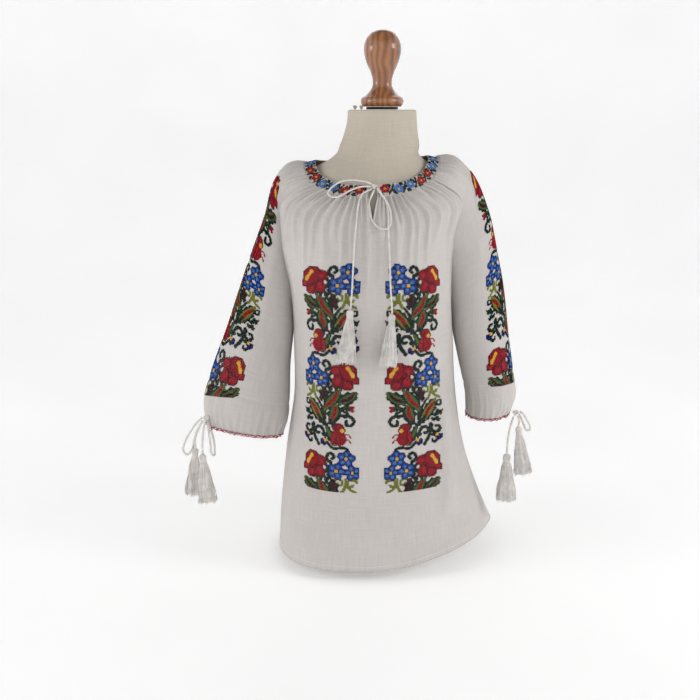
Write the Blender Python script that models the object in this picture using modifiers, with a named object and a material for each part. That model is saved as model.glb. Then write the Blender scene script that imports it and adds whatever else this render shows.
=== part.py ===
"""A child's Romanian ie blouse, worn by a limbless dress form with a turned finial.

Metres, +Z up. The origin is the centre of the form's flat base, and the front faces -Y.
"Left" is the side at -X, which is on the left of someone who looks at the front.
"""

import math

import bpy
import numpy as np

OBJECT_NAME = "romanian_ie_on_form"

# Cloth
WALL = 0.0012  # thickness of the cloth solids
SEAM = 0.0002  # each piece stops this far short of a seam line
CENTRE_X = -0.0125  # the front and back centre lines hang here, a little to the left
NECK_Y = -0.010  # centre of the neckline, front to back
NECK_HALF_WIDTH = 0.0815
NECK_HALF_DEPTH = 0.072
NECK_TILT = 0.04  # rise of the neckline for each metre to the right
SEAM_FRONT_DEG = 57  # where the raglan seams meet the neckline, from the front centre
SEAM_BACK_DEG = 130
SIDE_RISE = 1.35  # power of a section's rise or fall from its centre to its edge

# Neck band
BAND_OPEN_DEG = 3.6  # half of the opening at the front centre
BAND_TOP_Y = -0.0125
BAND_TOP_HALF_WIDTH = 0.0675
BAND_TOP_HALF_DEPTH = 0.0625

BAND_CROWN = 0.0006  # the band's middle stands this much proud

# Front slit
SLIT_TOP_HALF = 0.0055
SLIT_ROWS = 4
SLIT_SPREAD = 7  # columns on each side that make room for the slit

# Rows of each cloth grid from one key row to the next: along the raglan seams, then below them.
RAGLAN_ROWS = (2, 2, 3, 3, 3)
SIDE_ROWS = (3, 3, 2, 2)
RING_ROWS = (2, 2, 2, 2)
FRONT_HALF_COLUMNS = 16
BACK_HALF_COLUMNS = 11
SLEEVE_HALF_COLUMNS = 11

# Cuff edging
EDGING_HEIGHT = 0.0018

# Cords and tassels
NECK_CORD = 0.0022
CUFF_CORD = 0.0030
CORD_SPACING = 2.2  # distance between a cord's points, in diameters

# Form and finial
NECK_TOP_Z = 0.5630
NECK_RADIUS = 0.0410
SPACER_RADIUS = 0.019
SPACER_HEIGHT = 0.0030
CLEAR = 0.0003  # gap between pieces that rest on each other

# Height of the neckline, the lower edge of the band, by angle from the front.
NECKLINE_HEIGHTS = (
    # degrees, lower edge z, upper edge z
    (0, 0.4660, 0.4795),
    (30, 0.4685, 0.4815),
    (60, 0.4810, 0.4905),
    (90, 0.5015, 0.5055),
    (120, 0.4990, 0.5045),
    (150, 0.4915, 0.5010),
    (180, 0.4885, 0.5000),
)

# Rows of the front and back panels below the neckline. The fifth is level with the underarm.
FRONT_ROWS = (
    # centre y, centre z, turn in degrees to the seam, powers of the left and right halves' rounding
    (-0.0855, 0.4530, 58, 2.35, 2.35),
    (-0.0885, 0.4380, 64, 2.35, 2.35),
    (-0.0925, 0.3920, 74, 2.35, 2.35),
    (-0.0945, 0.3450, 83, 2.35, 2.35),
    (-0.0955, 0.3050, 90, 2.35, 2.35),
    (-0.0985, 0.2200, 90, 2.35, 2.30),
    (-0.1025, 0.1300, 90, 2.45, 2.10),
    (-0.1055, 0.0700, 90, 2.60, 1.90),
    (-0.1090, 0.0120, 90, 2.80, 1.80),
)
BACK_ROWS = (
    (0.0705, 0.4780, 58, 2.35, 2.35),
    (0.0785, 0.4570, 64, 2.35, 2.35),
    (0.0870, 0.4140, 74, 2.35, 2.35),
    (0.0880, 0.3550, 83, 2.35, 2.35),
    (0.0860, 0.3050, 90, 2.35, 2.35),
    (0.0870, 0.2200, 90, 2.35, 2.35),
    (0.0930, 0.1300, 90, 2.35, 2.35),
    (0.0970, 0.0700, 90, 2.35, 2.35),
    (0.1010, 0.0140, 90, 2.35, 2.35),
)

# Raglan seams below the neckline, down to the underarm.
LEFT_SEAMS = (
    # front x, front y, front z, back x, back y, back z
    (-0.1000, -0.0420, 0.4685, -0.0940, 0.0380, 0.4850),
    (-0.1180, -0.0300, 0.4560, -0.1120, 0.0330, 0.4680),
    (-0.1210, -0.0280, 0.4120, -0.1170, 0.0340, 0.4150),
    (-0.1120, -0.0160, 0.3500, -0.1100, 0.0240, 0.3520),
    (-0.1090, 0.0020, 0.3050, -0.1090, 0.0020, 0.3050),
)
RIGHT_SEAMS = (
    (0.0740, -0.0420, 0.4725, 0.0700, 0.0380, 0.4890),
    (0.0920, -0.0300, 0.4600, 0.0880, 0.0330, 0.4720),
    (0.0870, -0.0260, 0.4140, 0.0850, 0.0340, 0.4170),
    (0.0870, -0.0140, 0.3500, 0.0870, 0.0240, 0.3520),
    (0.0895, 0.0030, 0.3050, 0.0895, 0.0030, 0.3050),
)

# Side seams from below the underarm to the hem.
LEFT_SIDE = (
    # x, y, z
    (-0.1090, 0.0020, 0.2200),
    (-0.1215, 0.0040, 0.1300),
    (-0.1280, 0.0060, 0.0700),
    (-0.1315, 0.0080, 0.0125),
)
RIGHT_SIDE = (
    (0.0955, 0.0040, 0.2200),
    (0.1125, 0.0080, 0.1300),
    (0.1310, 0.0140, 0.0770),
    (0.1495, 0.0200, 0.0335),
)

# Outer line of each sleeve at the rows of its raglan seams.
LEFT_SHOULDER = (
    # outer x, outer y, outer z, half turn from the outer line to the seams in degrees
    (-0.1120, -0.0060, 0.4975, 80),
    (-0.1260, -0.0040, 0.4830, 85),
    (-0.1420, -0.0060, 0.4400, 100),
    (-0.1650, -0.0080, 0.3800, 146),
)
RIGHT_SHOULDER = (
    (0.0860, -0.0060, 0.5055, 80),
    (0.1050, -0.0020, 0.4920, 85),
    (0.1300, 0.0000, 0.4480, 100),
    (0.1460, 0.0020, 0.3850, 150),
)

# Closed rings of each sleeve from the underarm to the cuff.
LEFT_RINGS = (
    # inner x, inner y, inner z, outer x, outer y, outer z, half depth
    (-0.1090, 0.0020, 0.3050, -0.1770, -0.0080, 0.3450, 0.036),
    (-0.1140, -0.0060, 0.2500, -0.1925, -0.0120, 0.3000, 0.036),
    (-0.1155, -0.0120, 0.2050, -0.2145, -0.0180, 0.2410, 0.034),
    (-0.1190, -0.0180, 0.1800, -0.2235, -0.0220, 0.2040, 0.031),
    (-0.1260, -0.0220, 0.1630, -0.2195, -0.0250, 0.1800, 0.027),
)
RIGHT_RINGS = (
    (0.0895, 0.0030, 0.3050, 0.1540, 0.0020, 0.3450, 0.040),
    (0.0985, 0.0040, 0.2600, 0.1620, 0.0020, 0.2900, 0.043),
    (0.1080, 0.0040, 0.2190, 0.1705, 0.0000, 0.2360, 0.043),
    (0.1120, 0.0040, 0.1965, 0.1730, 0.0000, 0.2080, 0.040),
    (0.1135, 0.0040, 0.1825, 0.1670, 0.0000, 0.1895, 0.036),
)

# Sections of the form, from the base to the neck's top.
FORM_RINGS = (
    # z, centre x, half width, front y, back y, power
    (0.000, -0.008, 0.084, -0.070, 0.066, 2.4),
    (0.060, -0.008, 0.087, -0.076, 0.070, 2.4),
    (0.130, -0.008, 0.086, -0.078, 0.070, 2.4),
    (0.220, -0.008, 0.078, -0.074, 0.062, 2.3),
    (0.300, -0.009, 0.084, -0.082, 0.070, 2.3),
    (0.360, -0.010, 0.092, -0.087, 0.078, 2.3),
    (0.410, -0.010, 0.097, -0.085, 0.078, 2.3),
    (0.445, -0.010, 0.098, -0.0810, 0.073, 2.1),
    (0.466, -0.010, 0.095, -0.0755, 0.0620, 1.85),
    (0.480, -0.010, 0.088, -0.0680, 0.0550, 1.75),
    (0.491, -0.009, 0.078, -0.0610, 0.0500, 1.72),
    (0.4975, -0.008, 0.0690, -0.0565, 0.0465, 1.77),
    (0.503, -0.006, 0.0600, -0.0530, 0.0450, 1.85),
    (0.510, -0.0055, 0.0510, -0.0500, 0.0430, 1.90),
    (0.522, -0.0025, 0.0480, -0.0465, 0.0430, 2.0),
    (0.537, -0.001, 0.0440, -0.0430, 0.0430, 2.0),
    (0.550, 0.000, 0.0418, -0.0415, 0.0415, 2.0),
    (0.5605, 0.000, 0.0412, -0.0412, 0.0412, 2.0),
)

# Folds and pleats of the cloth, in metres across from the centre line and down from the neckline.
FRONT_FOLDS = (
    # across at the top, down at the top, across at the end, down at the end, width, height
    (-0.052, 0.004, -0.092, 0.045, 0.0060, -0.0030),
    (-0.036, 0.004, -0.070, 0.070, 0.0065, -0.0034),
    (-0.022, 0.004, -0.046, 0.085, 0.0065, -0.0030),
    (-0.013, 0.020, -0.016, 0.240, 0.0065, -0.0024),
    (0.010, 0.030, 0.012, 0.260, 0.0065, -0.0028),
    (0.024, 0.004, 0.042, 0.080, 0.0065, -0.0030),
    (0.040, 0.004, 0.066, 0.070, 0.0065, -0.0034),
    (0.054, 0.004, 0.090, 0.045, 0.0060, -0.0028),
    (0.092, 0.230, 0.106, 0.430, 0.0120, 0.0040),
    (-0.092, 0.300, -0.104, 0.430, 0.0140, -0.0030),
)
BACK_FOLDS = (
    (-0.050, 0.006, -0.072, 0.070, 0.0080, -0.0028),
    (-0.022, 0.006, -0.030, 0.120, 0.0080, -0.0026),
    (0.012, 0.010, 0.016, 0.180, 0.0080, -0.0026),
    (0.046, 0.006, 0.066, 0.090, 0.0080, -0.0028),
    (-0.060, 0.200, -0.080, 0.430, 0.0160, 0.0040),
    (0.050, 0.220, 0.070, 0.430, 0.0160, 0.0040),
)
SLEEVE_FOLDS = (
    (-0.030, 0.110, -0.040, 0.290, 0.0080, -0.0026),
    (0.034, 0.100, 0.044, 0.300, 0.0090, -0.0028),
)


# Knots, bows, hanging ends and tassels. Each route starts and ends just clear of its knot.
KNOTS = (
    # name, radius, place
    ("neck_knot", 0.0034, (-0.0108, -0.0800, 0.4785)),
    ("cuff_knot_left", 0.0042, (-0.2181, -0.0435, 0.1890)),
    ("cuff_knot_right", 0.0042, (0.1730, -0.0150, 0.1875)),
)
NECK_ROUTES = {
    "neck_bow_left": (
        (-0.0141, -0.0800, 0.4808),
        (-0.0200, -0.0800, 0.4834),
        (-0.0275, -0.0796, 0.4846),
        (-0.0361, -0.0788, 0.4853),
        (-0.0464, -0.0772, 0.4842),
        (-0.0550, -0.0752, 0.4800),
        (-0.0602, -0.0742, 0.4757),
        (-0.0638, -0.0750, 0.4708),
        (-0.0605, -0.0788, 0.4668),
        (-0.0521, -0.0822, 0.4668),
        (-0.0464, -0.0838, 0.4695),
        (-0.0384, -0.0838, 0.4738),
        (-0.0304, -0.0828, 0.4770),
        (-0.0220, -0.0815, 0.4784),
        (-0.0148, -0.0803, 0.4777),
    ),
    "neck_bow_right": (
        (-0.0106, -0.0828, 0.4745),
        (-0.0138, -0.0858, 0.4685),
        (-0.0170, -0.0885, 0.4600),
        (-0.0162, -0.0908, 0.4480),
        (-0.0111, -0.0930, 0.4378),
        (-0.0043, -0.0944, 0.4325),
        (0.0026, -0.0950, 0.4316),
        (0.0071, -0.0948, 0.4352),
        (0.0083, -0.0936, 0.4440),
        (0.0066, -0.0916, 0.4545),
        (0.0018, -0.0890, 0.4640),
        (-0.0035, -0.0862, 0.4712),
        (-0.0077, -0.0832, 0.4762),
    ),
    "neck_cord_left": (
        (-0.0137, -0.0812, 0.4757),
        (-0.0185, -0.0838, 0.4735),
        (-0.0235, -0.0850, 0.4708),
        (-0.0264, -0.0856, 0.4665),
        (-0.0288, -0.0874, 0.4580),
        (-0.0312, -0.0914, 0.4380),
        (-0.0332, -0.0935, 0.4160),
        (-0.0348, -0.0955, 0.3860),
        (-0.0364, -0.0976, 0.3560),
        (-0.0378, -0.0990, 0.3392),
    ),
    "neck_cord_right": (
        (-0.0070, -0.0800, 0.4758),
        (-0.0036, -0.0820, 0.4700),
        (0.0012, -0.0852, 0.4620),
        (0.0042, -0.0880, 0.4540),
        (0.0056, -0.0902, 0.4440),
        (0.0054, -0.0920, 0.4310),
        (0.0060, -0.0934, 0.4180),
        (0.0072, -0.0953, 0.3940),
        (0.0084, -0.0970, 0.3640),
        (0.0102, -0.0990, 0.3340),
    ),
}
CUFF_ROUTES = {
    "cuff_bow_left": (
        (-0.2229, -0.0450, 0.1904),
        (-0.2300, -0.0455, 0.1835),
        (-0.2380, -0.0450, 0.1720),
        (-0.2455, -0.0440, 0.1582),
        (-0.2482, -0.0430, 0.1462),
        (-0.2439, -0.0415, 0.1405),
        (-0.2385, -0.0400, 0.1455),
        (-0.2345, -0.0390, 0.1598),
        (-0.2285, -0.0390, 0.1745),
        (-0.2232, -0.0405, 0.1850),
    ),
    "cuff_loop_left": (
        (-0.2160, -0.0470, 0.1850),
        (-0.2145, -0.0485, 0.1740),
        (-0.2130, -0.0480, 0.1560),
        (-0.2118, -0.0462, 0.1425),
        (-0.2095, -0.0438, 0.1405),
        (-0.2088, -0.0425, 0.1480),
        (-0.2100, -0.0422, 0.1620),
        (-0.2130, -0.0425, 0.1750),
        (-0.2163, -0.0425, 0.1845),
    ),
    "cuff_cord_left_a": (
        (-0.2215, -0.0475, 0.1868),
        (-0.2270, -0.0495, 0.1790),
        (-0.2318, -0.0480, 0.1660),
        (-0.2330, -0.0430, 0.1500),
    ),
    "cuff_cord_left_b": (
        (-0.2190, -0.0485, 0.1856),
        (-0.2208, -0.0520, 0.1740),
        (-0.2220, -0.0548, 0.1600),
        (-0.2222, -0.0555, 0.1470),
    ),
    "cuff_bow_right": (
        (0.1786, -0.0152, 0.1893),
        (0.1832, -0.0145, 0.1852),
        (0.1876, -0.0140, 0.1780),
        (0.1922, -0.0135, 0.1695),
        (0.1925, -0.0128, 0.1635),
        (0.1885, -0.0122, 0.1630),
        (0.1852, -0.0118, 0.1690),
        (0.1822, -0.0112, 0.1765),
        (0.1780, -0.0112, 0.1846),
    ),
    "cuff_cord_right_a": (
        (0.1752, -0.0190, 0.1850),
        (0.1772, -0.0205, 0.1790),
        (0.1764, -0.0200, 0.1712),
    ),
    "cuff_cord_right_b": (
        (0.1702, -0.0190, 0.1838),
        (0.1668, -0.0210, 0.1740),
        (0.1642, -0.0215, 0.1600),
        (0.1632, -0.0212, 0.1460),
        (0.1630, -0.0208, 0.1345),
    ),
}
TASSELS = (
    # name, head's top, foot, width of the foot
    ("neck_tassel_left", (-0.0380, -0.0992, 0.3385), (-0.0431, -0.1060, 0.2751), 0.0235),
    ("neck_tassel_right", (0.0104, -0.0992, 0.3332), (0.0061, -0.1060, 0.2715), 0.0225),
    ("cuff_tassel_left_a", (-0.2332, -0.0425, 0.1492), (-0.2378, -0.0395, 0.0850), 0.0240),
    ("cuff_tassel_left_b", (-0.2222, -0.0556, 0.1462), (-0.2175, -0.0570, 0.0815), 0.0250),
    ("cuff_tassel_right_a", (0.1763, -0.0199, 0.1704), (0.1859, -0.0180, 0.1044), 0.0240),
    ("cuff_tassel_right_b", (0.1630, -0.0207, 0.1337), (0.1644, -0.0200, 0.0688), 0.0290),
)
TASSEL_FLATNESS = 0.62
TASSEL_PROFILE = (
    # radius as a share of the foot's width, distance down as a share of the length
    (0.00, 0.000),
    (0.10, 0.006),
    (0.155, 0.040),
    (0.16, 0.090),
    (0.13, 0.135),
    (0.155, 0.165),
    (0.24, 0.300),
    (0.36, 0.560),
    (0.46, 0.820),
    (0.50, 0.950),
    (0.44, 0.995),
    (0.00, 1.000),
)

FORM_SIDES = 28
NECK_ROUND = 0.0022  # rounding of the neck's top edge
COVER_KNOT_RADIUS = 0.0027
COVER_KNOTS = (
    # name, x, y
    ("cover_knot_a", -0.0325, -0.0190),
    ("cover_knot_b", -0.0250, -0.0210),
)
FINIAL_PROFILE = (
    # radius, height above the foot, top to bottom
    (0.0000, 0.0880),
    (0.0060, 0.0875),
    (0.0120, 0.0852),
    (0.0175, 0.0802),
    (0.0210, 0.0735),
    (0.0222, 0.0665),
    (0.0212, 0.0580),
    (0.0180, 0.0482),
    (0.0140, 0.0395),
    (0.0116, 0.0310),
    (0.0118, 0.0240),
    (0.0150, 0.0180),
    (0.0200, 0.0130),
    (0.0245, 0.0100),
    (0.0257, 0.0070),
    (0.0250, 0.0030),
    (0.0225, 0.0000),
    (0.0000, 0.0000),
)


# ---------------------------------------------------------------- curves and sections


def through(keys, values, at):
    """Smooth curve through the values at the keys, read at the given places."""
    keys = np.asarray(keys, float)
    values = np.asarray(values, float)
    at = np.asarray(at, float)
    slopes = np.gradient(values, keys, axis=0)
    left = np.clip(np.searchsorted(keys, at, side="right") - 1, 0, len(keys) - 2)
    span = keys[left + 1] - keys[left]
    t = (at - keys[left]) / span
    shape = (-1,) + (1,) * (values.ndim - 1)
    t = t.reshape(shape)
    span = span.reshape(shape)
    start = (1 + 2 * t) * (1 - t) ** 2 * values[left]
    end = t**2 * (3 - 2 * t) * values[left + 1]
    start_slope = t * (1 - t) ** 2 * span * slopes[left]
    end_slope = t**2 * (t - 1) * span * slopes[left + 1]
    return start + end + start_slope + end_slope


def evenly(points, count):
    """The given number of points, evenly spaced along a line of close points."""
    steps = np.linalg.norm(np.diff(points, axis=0), axis=1)
    run = np.concatenate([[0.0], np.cumsum(steps)])
    wanted = np.linspace(0.0, run[-1], count)
    return np.stack([np.interp(wanted, run, points[:, k]) for k in range(3)], axis=1)


def neckline(degrees, top=False):
    """Points of the band's lower or upper edge at angles from the front, positive to the right."""
    degrees = np.asarray(degrees, float)
    angle = np.radians(degrees)
    heights = [row[2 if top else 1] for row in NECKLINE_HEIGHTS]
    turned = np.abs((degrees + 180.0) % 360.0 - 180.0)
    half_width = BAND_TOP_HALF_WIDTH if top else NECK_HALF_WIDTH
    half_depth = BAND_TOP_HALF_DEPTH if top else NECK_HALF_DEPTH
    x = CENTRE_X + half_width * np.sin(angle)
    y = (BAND_TOP_Y if top else NECK_Y) - half_depth * np.cos(angle)
    z = through([row[0] for row in NECKLINE_HEIGHTS], heights, turned)
    return np.stack([x, y, z + NECK_TILT * (x - CENTRE_X)], axis=1)


def half_section(centre, end, turn, power):
    """Rounded line from the centre of a panel to its edge, which it meets after turning by turn."""
    angle = np.linspace(0.0, math.radians(turn), 160)
    across = np.sin(angle) ** (2.0 / power)
    back = 1.0 - np.cos(angle) ** (2.0 / power)
    across = across / across[-1]
    back = back / back[-1]
    centre = np.asarray(centre, float)
    end = np.asarray(end, float)
    weights = np.stack([across, back, across**SIDE_RISE], axis=1)
    return centre + (end - centre) * weights


def row_places(counts):
    """Places of the rows, in key rows, where counts gives the rows from each key row to the next."""
    places = [key + step / count for key, count in enumerate(counts) for step in range(count)]
    return np.array(places + [len(counts)])


def loft(key_rows, places):
    """Grid of points through key rows, read at places given in key rows, and its distances down."""
    keys = np.asarray(key_rows, float)
    steps = np.linalg.norm(np.diff(keys, axis=0), axis=2).mean(axis=1)
    run = np.concatenate([[0.0], np.cumsum(steps)])
    at = np.interp(places, np.arange(len(run)), run)
    return through(run, keys, at), at


def line_at(points, places):
    """Smooth line through points, read at places given in points."""
    grid, _ = loft(np.asarray(points, float)[:, None, :], places)
    return grid[:, 0]


def pinned(grid, rows, column, line):
    """Moves one edge of the rows onto a line, and eases the shift out towards the middle column."""
    half = grid.shape[1] // 2
    near = np.clip(1.0 - np.arange(grid.shape[1]) / half, 0.0, 1.0) ** 2
    if column != 0:
        near = near[::-1]
    shift = line - grid[rows, column]
    grid[rows] += near[None, :, None] * shift[:, None, :]


def pin_panel(grid, left, right, counts):
    """Moves a panel's side edges onto the raglan seams and, below the underarm, the side seams."""
    underarm = len(RAGLAN_ROWS)
    above = sum(RAGLAN_ROWS)
    for column, points in ((0, left), (-1, right)):
        seam = line_at(points[: underarm + 1], row_places(RAGLAN_ROWS))
        side = line_at(points[underarm:], row_places(counts))
        pinned(grid, slice(0, above + 1), column, seam)
        pinned(grid, slice(above, None), column, side)


def normals_of(grid):
    """Unit normals of a grid of points: down crossed with across."""
    across = np.gradient(grid, axis=1)
    down = np.gradient(grid, axis=0)
    normal = np.cross(across, down)
    length = np.linalg.norm(normal, axis=2, keepdims=True)
    return -normal / np.maximum(length, 1e-12)


def fold_height(across, down, folds):
    """Height of the soft ridges and troughs of a table at places on the cloth."""
    height = np.zeros_like(across)
    for across_top, down_top, across_end, down_end, width, rise in folds:
        along_x = across_end - across_top
        along_y = down_end - down_top
        length = math.hypot(along_x, along_y)
        offset_x = across - across_top
        offset_y = down - down_top
        along = (offset_x * along_x + offset_y * along_y) / length**2
        beside = (offset_x * along_y - offset_y * along_x) / length
        ends = np.clip(np.minimum(along, 1.0 - along) / 0.25, 0.0, 1.0)
        ends = ends * ends * (3.0 - 2.0 * ends)
        height += rise * ends * np.exp(-((beside / width) ** 2))
    return height


def folded(grid, down_at, folds, middle):
    """The grid with its folds raised along its normals. Middle is the centre line's column."""
    steps = np.linalg.norm(np.diff(grid, axis=1), axis=2)
    run = np.concatenate([np.zeros((len(grid), 1)), np.cumsum(steps, axis=1)], axis=1)
    across = run - run[:, middle : middle + 1]
    down = np.repeat(np.asarray(down_at)[:, None], grid.shape[1], axis=1)
    height = fold_height(across, down, folds)
    edge = np.minimum(run, run[:, -1:] - run) / 0.012
    height *= np.clip(edge, 0.0, 1.0)
    return grid + normals_of(grid) * height[:, :, None]


def trimmed(grid, top=True, left=None, right=None):
    """The grid with its edges drawn back from the seam lines. Left and right are row counts."""
    out = grid.copy()

    def draw_back(rows, column, beside):
        step = grid[rows, beside] - grid[rows, column]
        step /= np.linalg.norm(step, axis=1, keepdims=True)
        out[rows, column] += step * SEAM

    draw_back(slice(0, left), 0, 1)
    draw_back(slice(0, right), -1, -2)
    if top:
        step = grid[1] - grid[0]
        out[0] += step / np.linalg.norm(step, axis=1, keepdims=True) * SEAM
    return out


# ---------------------------------------------------------------- objects


def clear_scene():
    """Removes what the scene holds."""
    for item in list(bpy.data.objects):
        bpy.data.objects.remove(item, do_unlink=True)


def material(name, colour, roughness, metallic=0.0):
    """A plain Principled material."""
    made = bpy.data.materials.new(name)
    made.use_nodes = True
    shader = made.node_tree.nodes["Principled BSDF"]
    shader.inputs["Base Color"].default_value = (*colour, 1.0)
    shader.inputs["Roughness"].default_value = roughness
    shader.inputs["Metallic"].default_value = metallic
    return made


def add_object(name, data, made_of, collection):
    """Links a new object of the given data, with its material."""
    made = bpy.data.objects.new(name, data)
    data.materials.append(made_of)
    collection.objects.link(made)
    return made


def mesh_from(name, points, faces):
    """A smooth mesh of the points and faces."""
    mesh = bpy.data.meshes.new(name)
    mesh.from_pydata([tuple(p) for p in points], [], faces)
    mesh.shade_smooth()
    return mesh


def add_wall(item, thickness=WALL, offset=-1.0):
    """Gives an open sheet its thickness, inwards unless offset says otherwise."""
    wall = item.modifiers.new("wall", "SOLIDIFY")
    wall.thickness = thickness
    wall.offset = offset
    wall.use_even_offset = False


def sheet(name, grid, made_of, collection, closed_from=None, slit_rows=0):
    """A cloth wall on a grid of points, with each row running left to right as seen from outside.

    From row closed_from on, the last column joins the first, as in a sleeve. The first slit_rows
    rows are parted at the middle column.
    """
    rows, columns = grid.shape[:2]
    points = [tuple(p) for p in grid.reshape(-1, 3)]
    index = np.arange(rows * columns).reshape(rows, columns)
    right_index = index.copy()
    if closed_from is not None:
        index[closed_from:, -1] = index[closed_from:, 0]
        right_index = index.copy()
    middle = columns // 2
    for row in range(slit_rows):
        half = SLIT_TOP_HALF * (1.0 - row / slit_rows)
        x, y, z = points[index[row, middle]]
        points[index[row, middle]] = (x - half, y, z)
        right_index[row, middle] = len(points)
        points.append((x + half, y, z))
    faces = []
    for row in range(rows - 1):
        for column in range(columns - 1):
            use = right_index if column >= middle else index
            corners = (
                use[row, column],
                use[row + 1, column],
                use[row + 1, column + 1],
                use[row, column + 1],
            )
            faces.append(tuple(int(c) for c in corners))
    used = sorted({corner for face in faces for corner in face})
    place = {old: new for new, old in enumerate(used)}
    faces = [tuple(place[corner] for corner in face) for face in faces]
    mesh = mesh_from(name, [points[old] for old in used], faces)
    item = add_object(name, mesh, made_of, collection)
    add_wall(item)
    return item


def ring_loft(name, rings, made_of, collection):
    """A closed solid through rings of points, from the top ring down, with flat ends."""
    count = len(rings[0])
    points = [tuple(p) for ring in rings for p in ring]
    faces = []
    for row in range(len(rings) - 1):
        for column in range(count):
            after = (column + 1) % count
            first = row * count
            second = first + count
            faces.append((first + column, second + column, second + after, first + after))
    faces.append(tuple(range(count)))
    last = (len(rings) - 1) * count
    faces.append(tuple(range(last + count - 1, last - 1, -1)))
    return add_object(name, mesh_from(name, points, faces), made_of, collection)


def turned(name, profile, place, made_of, collection, steps=24, tilt=(0.0, 0.0)):
    """A turned solid from a profile of (radius, height) rows, top to bottom."""
    points = [(radius, 0.0, height) for radius, height in profile]
    edges = [(i, i + 1) for i in range(len(points) - 1)]
    mesh = bpy.data.meshes.new(name)
    mesh.from_pydata(points, edges, [])
    item = add_object(name, mesh, made_of, collection)
    screw = item.modifiers.new("turn", "SCREW")
    screw.steps = steps
    screw.render_steps = steps
    screw.use_merge_vertices = True
    screw.merge_threshold = 0.00001
    item.location = place
    item.rotation_euler = (tilt[0], tilt[1], 0.0)
    return item


def cord(name, route, diameter, made_of, collection):
    """A plain tube along a smooth curve through the route's points."""
    route = np.asarray(route, float)
    steps = np.linalg.norm(np.diff(route, axis=0), axis=1)
    run = np.concatenate([[0.0], np.cumsum(steps)])
    close = through(run, route, np.linspace(0.0, run[-1], 400))
    length = np.linalg.norm(np.diff(close, axis=0), axis=1).sum()
    count = max(4, int(round(length / (CORD_SPACING * diameter))) + 1)
    points = evenly(close, count)
    curve = bpy.data.curves.new(name, "CURVE")
    curve.dimensions = "3D"
    curve.bevel_depth = diameter / 2
    curve.bevel_resolution = 2
    curve.use_fill_caps = True
    spline = curve.splines.new("POLY")
    spline.points.add(count - 1)
    for target, point in zip(spline.points, points):
        target.co = (*point, 1.0)
    return add_object(name, curve, made_of, collection)


# ---------------------------------------------------------------- the blouse's cloth


def panel_keys(first_edge, rows, left, right, half_columns):
    """Key rows of a front or back panel: the neckline's row, then rounded sections below it."""
    keys = [first_edge]
    for (centre_y, centre_z, turn, *powers), left_end, right_end in zip(rows, left, right):
        centre = (CENTRE_X, centre_y, centre_z)
        left_half = evenly(half_section(centre, left_end, turn, powers[0]), half_columns + 1)
        right_half = evenly(half_section(centre, right_end, turn, powers[1]), half_columns + 1)
        keys.append(np.concatenate([left_half[::-1], right_half[1:]]))
    return keys


def back_panel(cloth, collection):
    """Back of the body, from the band to the hem."""
    half = BACK_HALF_COLUMNS
    edge = neckline(np.linspace(360 - SEAM_BACK_DEG, SEAM_BACK_DEG, 2 * half + 1))
    left = [row[3:] for row in LEFT_SEAMS] + list(LEFT_SIDE)
    right = [row[3:] for row in RIGHT_SEAMS] + list(RIGHT_SIDE)
    keys = panel_keys(edge, BACK_ROWS, left, right, half)
    grid, down = loft(keys, row_places(RAGLAN_ROWS + SIDE_ROWS))
    pin_panel(grid, [edge[0]] + left, [edge[-1]] + right, SIDE_ROWS)
    grid = trimmed(folded(grid[:, ::-1], down, BACK_FOLDS, half))
    return sheet("back_panel", grid, cloth, collection)


def sleeve_keys(side, seams, shoulder, rings, half_columns):
    """Key rows of a sleeve, each from the front seam over the outer line to the back seam."""
    degrees = np.linspace(SEAM_FRONT_DEG, SEAM_BACK_DEG, 2 * half_columns + 1) * side
    keys = [neckline(degrees)]
    turns = np.linspace(-1.0, 1.0, 241)[:, None]
    for seam, (x, y, z, half_turn) in zip(seams, shoulder):
        front = np.asarray(seam[:3])
        back = np.asarray(seam[3:])
        outer = np.asarray((x, y, z))
        limit = math.radians(half_turn)
        depth = (back - front) / (2.0 * math.sin(limit))
        out = (outer - (front + back) / 2.0) / (1.0 - math.cos(limit))
        angle = turns * limit
        keys.append(outer - out + out * np.cos(angle) + depth * np.sin(angle))
    for ring in rings:
        inner = np.asarray(ring[:3])
        outer = np.asarray(ring[3:6])
        depth = np.array((0.0, ring[6], 0.0))
        angle = turns * math.pi
        out = (outer - inner) / 2.0
        keys.append(inner + out + out * np.cos(angle) + depth * np.sin(angle))
    rows = [keys[0]]
    for key in keys[1:]:
        front_half = evenly(key[:121], half_columns + 1)
        back_half = evenly(key[120:], half_columns + 1)
        rows.append(np.concatenate([front_half, back_half[1:]]))
    return rows


def sleeve_grid(side, seams, shoulder, rings):
    """Grid of a sleeve, each row running left to right as seen from outside."""
    half = SLEEVE_HALF_COLUMNS
    above = sum(RAGLAN_ROWS)
    keys = sleeve_keys(side, seams, shoulder, rings, half)
    grid, down = loft(keys, row_places(RAGLAN_ROWS + RING_ROWS))
    front = [keys[0][0]] + [row[:3] for row in seams]
    back = [keys[0][-1]] + [row[3:] for row in seams]
    for column, points in ((0, front), (-1, back)):
        pinned(grid, slice(0, above + 1), column, line_at(points, row_places(RAGLAN_ROWS)))
    if side < 0:
        grid = grid[:, ::-1]
    grid = folded(grid, down, SLEEVE_FOLDS, half)
    grid = trimmed(grid, left=above, right=above)
    outward = grid[above, half] - grid[above, 0]
    grid[above, 0] += outward / np.linalg.norm(outward) * SEAM * 2
    return grid


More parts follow.
